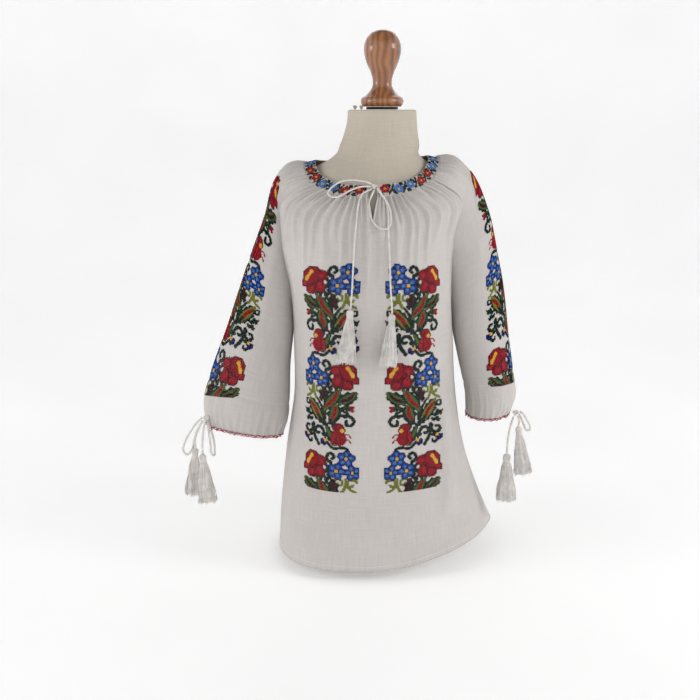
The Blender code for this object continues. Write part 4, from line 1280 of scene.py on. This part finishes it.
def band_chart(wide, tall):
    """The neck band's row of small flowers, red and blue in pairs, among green scrolls."""
    chart = np.zeros((tall, wide), int)
    count = round(wide / BAND_SPACING)
    spacing = wide / count
    for step in range(count):
        x = spacing * (step + 0.5)
        side = 1 if step % 2 else -1
        between = x + spacing / 2
        curl(chart, between - 1.8, tall * 0.26, 2.2, 90 * side, 280 * side, 1.9, DARK_GREEN)
        curl(chart, between + 1.8, tall * 0.74, 2.2, -90 * side, 280 * side, 1.9, DARK_GREEN)
        stem = ((x + 3, tall * 0.9), (between, tall / 2), (x + 9, tall * 0.1))
        stroke(chart, stem, 1.9, DARK_GREEN)
        leaf(chart, (x - 6.2, tall - 1.4), (x - 1.0, tall - 0.6), 3.0, DARK_GREEN, DARK_GREEN)
        leaf(chart, (x + 6.2, 1.4), (x + 1.0, 0.6), 3.0, DARK_GREEN, DARK_GREEN)
    for step in range(count):
        x = spacing * (step + 0.5)
        red = step % 4 in (0, 3) if step < count / 2 else (count - 1 - step) % 4 in (0, 1)
        petal, edge = (CRIMSON, ROSE_RED) if red else (LIGHT_BLUE, LIGHT_BLUE)
        middle = tall / 2 + (0.6 if step % 2 else -0.6)
        for turn in range(5):
            angle = math.radians(72 * turn - 90)
            place = (x + 2.5 * math.cos(angle), middle + 2.3 * math.sin(angle))
            oval(chart, *place, 2.1, 2.0, 0, petal, edge)
        oval(chart, x, middle, 1.2, 1.1, 0, YELLOW)
    return chart


# Stitches


def laid(surface, across, levels, upright=False):
    """Points and normals of a net on the cloth, at distances across and levels down.

    Across and levels are each one row or column for the whole net, or a value for every point.
    Levels are distances down the panel or, where upright, heights below the origin's level.
    """
    levels = np.asarray(levels, float)
    if levels.ndim == 1:
        levels = levels[:, None]
    shape = (len(levels), np.shape(across)[-1])
    across = np.broadcast_to(across, shape)
    levels = np.broadcast_to(levels, shape)
    values = np.concatenate([surface.grid, surface.normals], axis=2)
    net = np.empty((*shape, 6))
    for column in range(shape[1]):
        if upright:
            wanted = np.full(len(surface.down), across[0, column])
        else:
            wanted = np.interp(surface.down, levels[:, column], across[:, column])
        line = np.empty((len(wanted), 6))
        for row, (run, value) in enumerate(zip(surface.across, values)):
            place = np.interp(wanted[row], run, np.arange(len(run)))
            low = min(int(place), len(run) - 2)
            share = place - low
            line[row] = value[low] * (1.0 - share) + value[low + 1] * share
        key = -line[:, 2] if upright else surface.down
        for k in range(6):
            net[:, column, k] = np.interp(levels[:, column], key, line[:, k])
    return net[..., :3], net[..., 3:]


def legs(start, end, normal, half_width, rise):
    """Short raised bars of thread from start to end: a ridge with two sloping sides."""
    ahead = end - start
    side = normed(np.cross(normal, ahead)) * half_width
    lift = normal * 0.00005
    corners = [start + side, start - side, end + side, end - side]
    ridge = [start + ahead * 0.03 + normal * rise, end - ahead * 0.03 + normal * rise]
    points = np.stack([corner + lift for corner in corners] + ridge, axis=1)
    faces = ((0, 4, 5, 2), (1, 3, 5, 4))
    out = []
    for first in range(0, 6 * len(points), 6):
        out.extend([[first + corner for corner in face] for face in faces])
    return points.reshape(-1, 3), out


def embroidery(name, chart, points, normals, rises, made_of):
    """Cross stitches for the chart's coloured cells, on a net of their corners."""
    rows, columns = np.nonzero(chart)
    normal = normed(normals[rows, columns] + normals[rows + 1, columns + 1])
    rising = (points[rows + 1, columns], points[rows, columns + 1])
    falling = (points[rows, columns], points[rows + 1, columns + 1])
    under = legs(*rising, normal, LEG_HALF_WIDTH, rises * 0.8)
    over = legs(*falling, normal, LEG_HALF_WIDTH, rises)
    all_points, faces = joined([under, over])
    mesh = mesh_from(name, all_points, faces)
    random = np.random.default_rng(len(rows))
    palette = np.array([THREADS.get(k, (0, 0, 0, 1)) for k in range(max(THREADS) + 1)])
    colours = palette[chart[rows, columns]]
    colours[:, :3] *= random.uniform(0.82, 1.14, (len(rows), 1))
    colours = np.tile(np.repeat(colours, 6, axis=0), (2, 1))
    layer = mesh.color_attributes.new("thread", "FLOAT_COLOR", "POINT")
    layer.data.foreach_set("color", colours.astype(np.float32).ravel())
    return add_piece(name, mesh, made_of)


def front_columns(surface, made_of):
    """The two flower columns down the front, mirror images of each other."""
    chart = column_chart(COLUMN_TALL)
    levels = -(COLUMN_TOP_Z - STITCH * np.arange(COLUMN_TALL + 1))
    edges = COLUMN_START + STITCH_WIDE * np.arange(COLUMN_WIDE + 1)
    pieces = []
    for word, across, stitches in (
        ("left", -edges[::-1], chart),
        ("right", edges, chart[:, ::-1]),
    ):
        points, normals = laid(surface, across, levels, upright=True)
        name = "front_embroidery_" + word
        pieces.append(embroidery(name, stitches, points, normals, LEG_RISE, made_of))
    return pieces


def sleeve_column(word, surface, route, lean, made_of):
    """The flower column down a sleeve. Route gives its middle, off the outer line, by height.

    The foot of the column slopes down to the outside by the share lean.
    """
    chart = column_chart(COLUMN_TALL)
    if word == "left":
        chart = chart[:, ::-1]
    downs, centres = np.asarray(route).T
    levels = np.linspace(downs[0], downs[-1], COLUMN_TALL + 1)
    middles = through(downs, centres[:, None], levels)
    steps = np.arange(COLUMN_WIDE + 1)
    across = middles + STITCH * (steps - COLUMN_WIDE / 2)
    outward = (steps[::-1] if word == "left" else steps) * STITCH
    lowered = lean * np.linspace(0.0, 1.0, COLUMN_TALL + 1)[:, None] * outward
    points, normals = laid(surface, across, levels[:, None] + lowered)
    return embroidery("sleeve_embroidery_" + word, chart, points, normals, LEG_RISE, made_of)


def band_flowers(surface, made_of):
    """Flowers all round the neck band, a fixed number of stitches tall, spread over most of the
    band's height.
    """
    length = surface.across[BAND_ROWS // 2]
    wide = int((length[-1] - length[0]) / BAND_STITCH) - 2
    tall = BAND_TALL
    chart = band_chart(wide, tall)
    across = length[0] + BAND_STITCH + BAND_STITCH * np.arange(wide + 1)
    heights = np.linspace(0.03, 0.90, tall + 1) * surface.down[-1]
    points, normals = laid(surface, across, heights)
    return embroidery("band_embroidery", chart, points, normals, LEG_RISE * 0.8, made_of)


def running_stitch(name, points, normals, length, gap, made_of):
    """A row of straight stitches along a line of close points on the cloth."""
    run = run_along(points)
    starts = np.arange(gap, run[-1] - length, length + gap)
    both = np.concatenate([points, normals], axis=1)
    first = read_at(starts, run, both)
    last = read_at(starts + length, run, both)
    bars = legs(first[:, :3], last[:, :3], first[:, 3:], SEWN_HALF_WIDTH, SEWN_RISE)
    return add_piece(name, mesh_from(name, *bars), made_of)


def edge_stitches(name, surface, ends, above, length, gap, made_of):
    """Running stitches across a panel, a distance above its lower edge."""
    across = np.linspace(ends[0], ends[-1], 400)
    points, normals = laid(surface, across, np.array([surface.down[-1] - above]))
    return running_stitch(name, points[0], normals[0], length, gap, made_of)


# Cords, knots and tassels


def cord_line(route, diameter, run_on=None):
    """Close points along a cord's route. It runs on to the point run_on where one is given."""
    route = np.asarray(route, float)
    if run_on is not None:
        route = np.vstack([route, run_on])
    run = run_along(route)
    close = through(run, route, np.linspace(0.0, run[-1], 400))
    length = np.linalg.norm(np.diff(close, axis=0), axis=1).sum()
    return evenly(close, max(8, int(length / (diameter * 0.22)))), float(length)


def rope(node, line, diameter, made_of):
    """A twisted cotton cord along a line."""
    points, faces = tube(line, diameter * 0.515, ROPE_SIDES, plies=ROPE_PLIES, lay=diameter * 4.2)
    name = "shown_" + node
    return add_piece(name, mesh_from(name, points, faces), made_of, (node,))


def tied_knot(node, place, radius, thickness, made_of, turn=0.0):
    """A small pulled-tight knot, with the cord laid through itself three times."""
    t = np.linspace(0.0, 2.0 * math.pi, 90, endpoint=False) + turn
    x = np.sin(t) + 1.7 * np.sin(2 * t)
    y = np.cos(t) - 1.7 * np.cos(2 * t)
    z = -1.15 * np.sin(3 * t)
    size = (radius - thickness * 0.5) / 2.7
    line = np.stack([x, z * 0.9, y], axis=1) * size + np.asarray(place)
    points, faces = tube(line, thickness / 2, 10, closed=True)
    name = "shown_" + node
    return add_piece(name, mesh_from(name, points, faces), made_of, (node,))


def tassel_parts(length, width, seed):
    """Head, tie, core and loose threads of a tassel that hangs down from the origin."""
    random = np.random.default_rng(seed)
    heights = np.array([row[1] for row in TASSEL_PROFILE])
    radii = np.array([row[0] for row in TASSEL_PROFILE]) * width

    def radius_at(share):
        return float(np.interp(share, heights, radii))

    head = [(radius_at(s), -s * length) for s in np.linspace(0.0, 0.15, 16)]
    core = [(radius_at(s) * 0.82, -s * length) for s in np.linspace(0.12, 0.955, 20)]
    parts = [
        lathe([(0.0, 0.0)] + head + [(0.0, -0.15 * length)], 28),
        lathe([(0.0, -0.12 * length)] + core + [(0.0, -0.955 * length)], 28),
    ]
    tie_turns = np.linspace(0.0, 8.0 * math.pi, 110)
    tie_height = -length * (0.125 + 0.03 * tie_turns / tie_turns[-1])
    tie_radius = radius_at(0.135) * 1.08
    tie = np.stack(
        [tie_radius * np.cos(tie_turns), tie_radius * np.sin(tie_turns), tie_height], axis=1
    )
    parts.append(tube(tie, STRAND_RADIUS, 5))
    for turn in np.linspace(0.0, 2.0 * math.pi, 26, endpoint=False):
        shares = np.linspace(0.004, 0.13, 8)
        line = [
            (radius_at(s) * math.cos(turn), radius_at(s) * math.sin(turn), -s * length)
            for s in shares
        ]
        parts.append(tube(line, STRAND_RADIUS * 0.9, 4))
    for _ in range(TASSEL_STRANDS):
        turn = random.uniform(0.0, 2.0 * math.pi)
        share_out = math.sqrt(random.uniform(0.30, 1.0))
        stop = random.uniform(0.93, 1.0)
        drift = random.normal(0.0, 0.16)
        wave = random.uniform(0.0, 2.0 * math.pi)
        line = []
        for s in np.linspace(0.14, stop, 13):
            free = (s - 0.14) / 0.86
            waved = 0.92 * share_out + 0.08 + 0.05 * math.sin(13.0 * free + wave)
            out = radius_at(min(s, 0.95)) * waved
            angle = turn + drift * free + 0.16 * free * math.sin(11.0 * free + wave)
            line.append((out * math.cos(angle), out * math.sin(angle), -s * length))
        radii_here = np.linspace(STRAND_RADIUS, STRAND_RADIUS * 0.8, 13)
        parts.append(tube(line, radii_here, 4))
    return joined(parts)


def tassel(node, head, foot, width, made_of, seed):
    """A tied bundle of threads, flattened front to back, from its head to its foot."""
    head = np.asarray(head)
    line = np.asarray(foot) - head
    length = float(np.linalg.norm(line))
    points, faces = tassel_parts(length, width, seed)
    points = np.asarray(points) * (1.0, TASSEL_FLATNESS, 1.0)
    down = -line / length
    side = normed(np.cross((0.0, 1.0, 0.0), down))
    ahead = np.cross(down, side)
    points = head + points[:, :1] * side + points[:, 1:2] * ahead + points[:, 2:] * down
    name = "shown_" + node
    return add_piece(name, mesh_from(name, points, faces), made_of, (node,))


def drawstrings(cotton):
    """Every bow, hanging end, knot and tassel."""
    tassels = {}
    for seed, (name, head, foot, width) in enumerate(TASSELS):
        tassels[name] = tassel(name, head, foot, width, cotton, seed + 20)
    places = {name: (head, foot) for name, head, foot, _ in TASSELS}
    for name, radius, place in KNOTS:
        thickness = NECK_CORD if name.startswith("neck") else CUFF_CORD
        tied_knot(name, place, radius, thickness, cotton)
    for routes, diameter in ((NECK_ROUTES, NECK_CORD), (CUFF_ROUTES, CUFF_CORD)):
        for name, route in routes.items():
            run_on = None
            on_end = name.replace("cord", "tassel")
            hangs = on_end in tassels
            if hangs:
                head, foot = (np.asarray(point) for point in places[on_end])
                run_on = head + (foot - head) * CORD_END_INSIDE / np.linalg.norm(foot - head)
            line, length = cord_line(route, diameter, run_on)
            piece = rope(name, line, diameter, cotton)


def felled_seams(front, back, band, cotton):
    """Narrow felled seams along the raglan lines and under the neck band."""
    above = sum(RAGLAN_ROWS)
    lines = [
        (front.grid[1:above, 0], front.normals[1:above, 0]),
        (front.grid[1:above, -1], front.normals[1:above, -1]),
        (back.grid[1:above, 0], back.normals[1:above, 0]),
        (back.grid[1:above, -1], back.normals[1:above, -1]),
        (band.grid[-1], band.normals[-1]),
    ]
    parts = [tube(evenly(line - up * 0.0002, 140), 0.00070, 8) for line, up in lines]
    mesh = mesh_from("felled_seams", *joined(parts))
    return add_piece("felled_seams", mesh, cotton)


def slit_finish(surface, cotton, white_thread):
    """Rolled edges down the slit, and the stitches of the pointed facing behind it."""
    rows = np.arange(SLIT_ROWS + 1)
    middle = surface.grid[rows, surface.middle]
    normals = surface.normals[rows, surface.middle]
    half = SLIT_TOP_HALF * (1.0 - rows / SLIT_ROWS) + SLIT_ROLL * 0.6
    parts = []
    for side in (-1, 1):
        line = middle + normals * SLIT_ROLL * 0.35
        line[:, 0] += side * half
        parts.append(tube(evenly(line, 60), SLIT_ROLL, 10))
    mesh = mesh_from("slit_rolled_edges", *joined(parts))
    rolled = add_piece("slit_rolled_edges", mesh, cotton)
    across, down = np.asarray(FACING).T
    run = np.linspace(0, len(across) - 1, 300)
    across = np.interp(run, np.arange(len(across)), across)
    down = np.interp(run, np.arange(len(down)), down)
    points = np.array([laid(surface, [a], [d]) for a, d in zip(across, down)])[:, :, 0, 0]
    stitches = running_stitch(
        "facing_stitches", points[:, 0], points[:, 1], 0.0024, 0.0010, white_thread
    )
    return [rolled, stitches]


def cuff_edging(word, surface, crimson):
    """Small buttonhole scallops of crimson thread all round a cuff."""
    ring = surface.grid[-1, :-1]
    step = normed(ring - surface.grid[-2, :-1])
    closed = np.vstack([ring, ring[:1]])
    run = run_along(closed)
    scallops = int(round(run[-1] / SCALLOP))
    at = np.linspace(0.0, run[-1], scallops * 8, endpoint=False)
    down = np.vstack([step, step[:1]])
    base = read_at(at, run, closed)
    away = read_at(at, run, down)
    swing = np.abs(np.sin(at / run[-1] * scallops * math.pi))[:, None]
    parts = [
        tube(base + away * 0.0004, 0.00065, 6, closed=True),
        tube(base + away * (0.0007 + 0.0024 * swing), 0.00060, 6, closed=True),
    ]
    name = "shown_cuff_edging_" + word
    mesh = mesh_from(name, *joined(parts))
    return add_piece(name, mesh, crimson, ("cuff_edging_" + word,))


# The form


def form_cover(linen):
    """The covered torso and neck, smooth between the sections."""
    keys = []
    turns = np.radians(np.linspace(0, 360, 361))
    for _, centre_x, half_width, front_y, back_y, power in FORM_RINGS:
        side = np.sign(np.cos(turns)) * np.abs(np.cos(turns)) ** (2 / power)
        deep = np.sign(np.sin(turns)) * np.abs(np.sin(turns)) ** (2 / power)
        depth = np.where(deep > 0, back_y, -front_y)
        keys.append(np.stack([centre_x + half_width * side, depth * deep], axis=1))
    heights = [row[0] for row in FORM_RINGS]
    at = np.concatenate([np.linspace(0.0, 0.44, 24), np.linspace(0.45, heights[-1], 44)])
    outlines = through(heights, np.asarray(keys), at)
    rings = [
        evenly(np.column_stack([line, np.full(len(line), z)]), 97)
        for line, z in zip(outlines, at)
    ]
    for share in np.linspace(0.2, 1.0, 5):
        rim = rings[67].copy()
        inset = 1.0 - (1.0 - math.sqrt(1.0 - share**2)) * NECK_ROUND / NECK_RADIUS
        rim[:, :2] *= inset
        rim[:, 2] = heights[-1] + (NECK_TOP_Z - heights[-1]) * share
        rings.append(rim)
    for scale in (0.80, 0.5, 0.2):
        cap = rings[72].copy()
        cap[:, :2] *= scale
        rings.append(cap)
    grid = np.array(rings[::-1])
    columns = grid.shape[1]
    faces = []
    uvs = []
    height = [ring[0][2] for ring in grid]
    for row in range(len(grid) - 1):
        for column in range(columns - 1):
            after = (column + 1) % (columns - 1)
            corners = ((row, column), (row + 1, column), (row + 1, after), (row, after))
            faces.append([r * (columns - 1) + c for r, c in corners])
            for r, c in corners[:2] + ((row + 1, column + 1), (row, column + 1)):
                uvs.append((c * 0.0028, height[r] + (0.02 * r if r < 9 else 0.0)))
    points = grid[:, :-1].reshape(-1, 3)
    top = list(range(columns - 1))
    base = list(range(len(points) - columns + 1, len(points)))[::-1]
    faces.extend([top, base])
    uvs.extend([(0.0, 0.0)] * (2 * (columns - 1)))
    mesh = mesh_from("linen_torso", points, faces, uvs)
    return add_piece("linen_torso", mesh, linen, ("form_torso",))


def turned_pieces(wood, felt, cotton):
    """The turned knob, the felt disc under it and the cover's two knots."""
    spacer_z = NECK_TOP_Z + CLEAR
    rim = 0.0006
    disc = [
        (0.0, SPACER_HEIGHT),
        (SPACER_RADIUS - rim, SPACER_HEIGHT),
        (SPACER_RADIUS, SPACER_HEIGHT - rim),
        (SPACER_RADIUS, rim),
        (SPACER_RADIUS - rim, 0.0),
        (0.0, 0.0),
    ]
    foot_z = spacer_z + SPACER_HEIGHT + CLEAR
    profile = smooth_profile(FINIAL_PROFILE[:-1], 110).tolist() + [FINIAL_PROFILE[-1]]
    for name, outline, steps, bottom, made_of, slot, node in (
        ("felt_disc", disc, 64, spacer_z, felt, "dark_felt", "neck_spacer"),
        ("turned_knob", profile, 72, foot_z, wood, "varnished_wood", "finial"),
    ):
        points, faces = lathe(outline, steps)
        points = np.asarray(points) + (0.0, 0.0, bottom)
        add_piece(name, mesh_from(name, points, faces), made_of, (node,))
    for index, (name, x, y) in enumerate(COVER_KNOTS):
        place = (x, y, NECK_TOP_Z + COVER_KNOT_RADIUS + CLEAR)
        tied_knot(name, place, COVER_KNOT_RADIUS, COVER_CORD, cotton, turn=index)


# Studio


def area_light(name, place, aim, size, power):
    """A soft square light at a place, turned to its aim."""
    data = bpy.data.lights.new(name, "AREA")
    data.size = size
    data.energy = power
    item = bpy.data.objects.new(name, data)
    item.location = place
    direction = np.asarray(aim, float) - np.asarray(place, float)
    item.rotation_euler = aimed(direction)
    bpy.context.scene.collection.objects.link(item)


def aimed(direction):
    """Rotation that turns a light or camera's own -Z to a direction."""
    level = math.hypot(direction[0], direction[1])
    return (math.atan2(level, -direction[2]), 0.0, math.atan2(-direction[0], direction[1]))


def studio():
    """A pale floor that curves up into a backdrop all round, soft lights and the camera."""
    profile = [(0.0, 0.0), (1.6, 0.0)]
    for angle in np.radians(np.linspace(6, 84, 14)):
        profile.append((1.6 + 1.2 * math.sin(angle), 1.2 - 1.2 * math.cos(angle)))
    profile.append((2.8, 1.4))
    profile.append((2.8, 3.4))
    points = [(0.0, 0.0, -0.0004)]
    steps = 96
    for radius, height in profile[1:]:
        for turn in np.linspace(0.0, 2.0 * math.pi, steps, endpoint=False):
            points.append((radius * math.cos(turn), radius * math.sin(turn), height - 0.0004))
    faces = []
    for column in range(steps):
        after = (column + 1) % steps
        faces.append([0, 1 + column, 1 + after])
        for row in range(len(profile) - 2):
            low = 1 + row * steps
            top = low + steps
            faces.append([low + column, top + column, top + after, low + after])
    mesh = mesh_from("studio_floor", points, faces)
    paper, tree, shader = new_material("pale_paper", 0.95, specular=0.1)
    place = tree.nodes.new("ShaderNodeTexCoord").outputs["Object"]
    tint = noise_node(tree, place, 3.0)
    shader.inputs["Emission Color"].default_value = (1.0, 1.0, 1.0, 1.0)
    shader.inputs["Emission Strength"].default_value = 0.30
    stops = ((0.3, srgb(240, 240, 240)), (0.7, srgb(246, 246, 246)))
    tree.links.new(ramp_node(tree, tint, stops), shader.inputs["Base Color"])
    mesh.materials.append(paper)
    floor = bpy.data.objects.new("studio_floor", mesh)
    bpy.context.scene.collection.objects.link(floor)
    world = bpy.data.worlds.new("soft_light")
    world.use_nodes = True
    world.node_tree.nodes["Background"].inputs["Color"].default_value = (1.0, 1.0, 1.0, 1.0)
    world.node_tree.nodes["Background"].inputs["Strength"].default_value = 0.10
    bpy.context.scene.world = world
    middle = (CENTRE_X, 0.0, 0.30)
    area_light("left", (-1.5, -0.40, 0.75), middle, 0.5, 4.0)
    area_light("right", (1.5, -0.55, 1.00), middle, 0.5, 6.4)
    area_light("front", (-0.3, -2.0, 1.1), middle, 1.0, 0.5)
    area_light("sky", (0.0, -0.1, 2.6), middle, 1.6, 2.2)
    area_light("back", (0.2, 1.6, 1.4), middle, 1.2, 1.6)
    data = bpy.data.cameras.new("camera")
    data.sensor_width = 36.0
    data.lens = 50.0
    camera = bpy.data.objects.new("camera", data)
    camera.location = (-0.0384, -1.200, 0.565)
    camera.rotation_euler = (math.radians(90.0 - 13.98), 0.0, 0.0)
    bpy.context.scene.collection.objects.link(camera)
    bpy.context.scene.camera = camera
    bpy.context.scene.view_settings.view_transform = "Standard"


# The whole object


def main():
    """Builds every shown piece."""
    studio()
    white = (srgb(213, 208, 204), srgb(190, 184, 180))
    cotton = woven("white_cotton", *white, 0.00055, 0.9, 0.15, 0.30)
    beige = (srgb(206, 197, 182), srgb(184, 174, 158))
    linen = woven("beige_linen", *beige, 0.0005, 0.92, 0.1, 0.25)
    thread = thread_material("embroidery_thread")
    cord_cotton = fibre_material("cotton_cord", srgb(236, 232, 228), srgb(200, 195, 190))
    seam_cotton = fibre_material("seam_cotton", srgb(214, 209, 205), srgb(192, 186, 182))
    beige_cord = fibre_material("beige_cord", srgb(198, 184, 160), srgb(150, 134, 110))
    crimson = fibre_material("crimson_thread", srgb(168, 34, 50), srgb(110, 16, 32))
    white_thread = fibre_material("white_thread", srgb(244, 242, 238), srgb(222, 218, 210))
    felt = fibre_material("dark_felt", srgb(58, 52, 48), srgb(26, 24, 22), 0.95)
    wood = wood_material()

    drawstrings(cord_cotton)
    front = front_surface()
    back = back_surface()
    left = sleeve_surface(-1, LEFT_SEAMS, LEFT_SHOULDER, LEFT_RINGS, seed=31)
    right = sleeve_surface(1, RIGHT_SEAMS, RIGHT_SHOULDER, RIGHT_RINGS, seed=41)
    band = band_surface()
    above = sum(RAGLAN_ROWS)
    for name, surface, node, parting in (
        ("front_cloth", front, "front_panel", {"slit_rows": SLIT_ROWS}),
        ("back_cloth", back, "back_panel", {}),
        ("left_sleeve_cloth", left, "sleeve_left", {"closed_from": above}),
        ("right_sleeve_cloth", right, "sleeve_right", {"closed_from": above}),
        ("band_cloth", band, "neck_band", {}),
    ):
        shell(name, surface, cotton, "cloth", (node,), **parting)

    on_front = front_columns(front, thread)
    on_back = []
    on_left = [sleeve_column("left", left, LEFT_COLUMN, 0.26, thread)]
    on_right = [sleeve_column("right", right, RIGHT_COLUMN, 0.20, thread)]
    on_band = [band_flowers(band, thread)]
    on_front += slit_finish(front, cord_cotton, white_thread)
    on_front.append(felled_seams(front, back, band, seam_cotton))
    for word, surface, sewn_on in (("left", left, on_left), ("right", right, on_right)):
        sewn_on.append(cuff_edging(word, surface, crimson))
        name = "gathering_stitches_" + word
        ends = surface.across[-1]
        stitch = (0.0026, 0.0016)
        sewn_on.append(edge_stitches(name, surface, ends, CUFF_GATHER, *stitch, white_thread))
    for word, surface, sewn_on in (("front", front, on_front), ("back", back, on_back)):
        name = "hem_stitches_" + word
        ends = surface.across[-8][[0, -1]] + (0.002, -0.002)
        sewn_on.append(edge_stitches(name, surface, ends, HEM, 0.0022, 0.0010, white_thread))

    form_cover(linen)
    turned_pieces(wood, felt, beige_cord)


main()
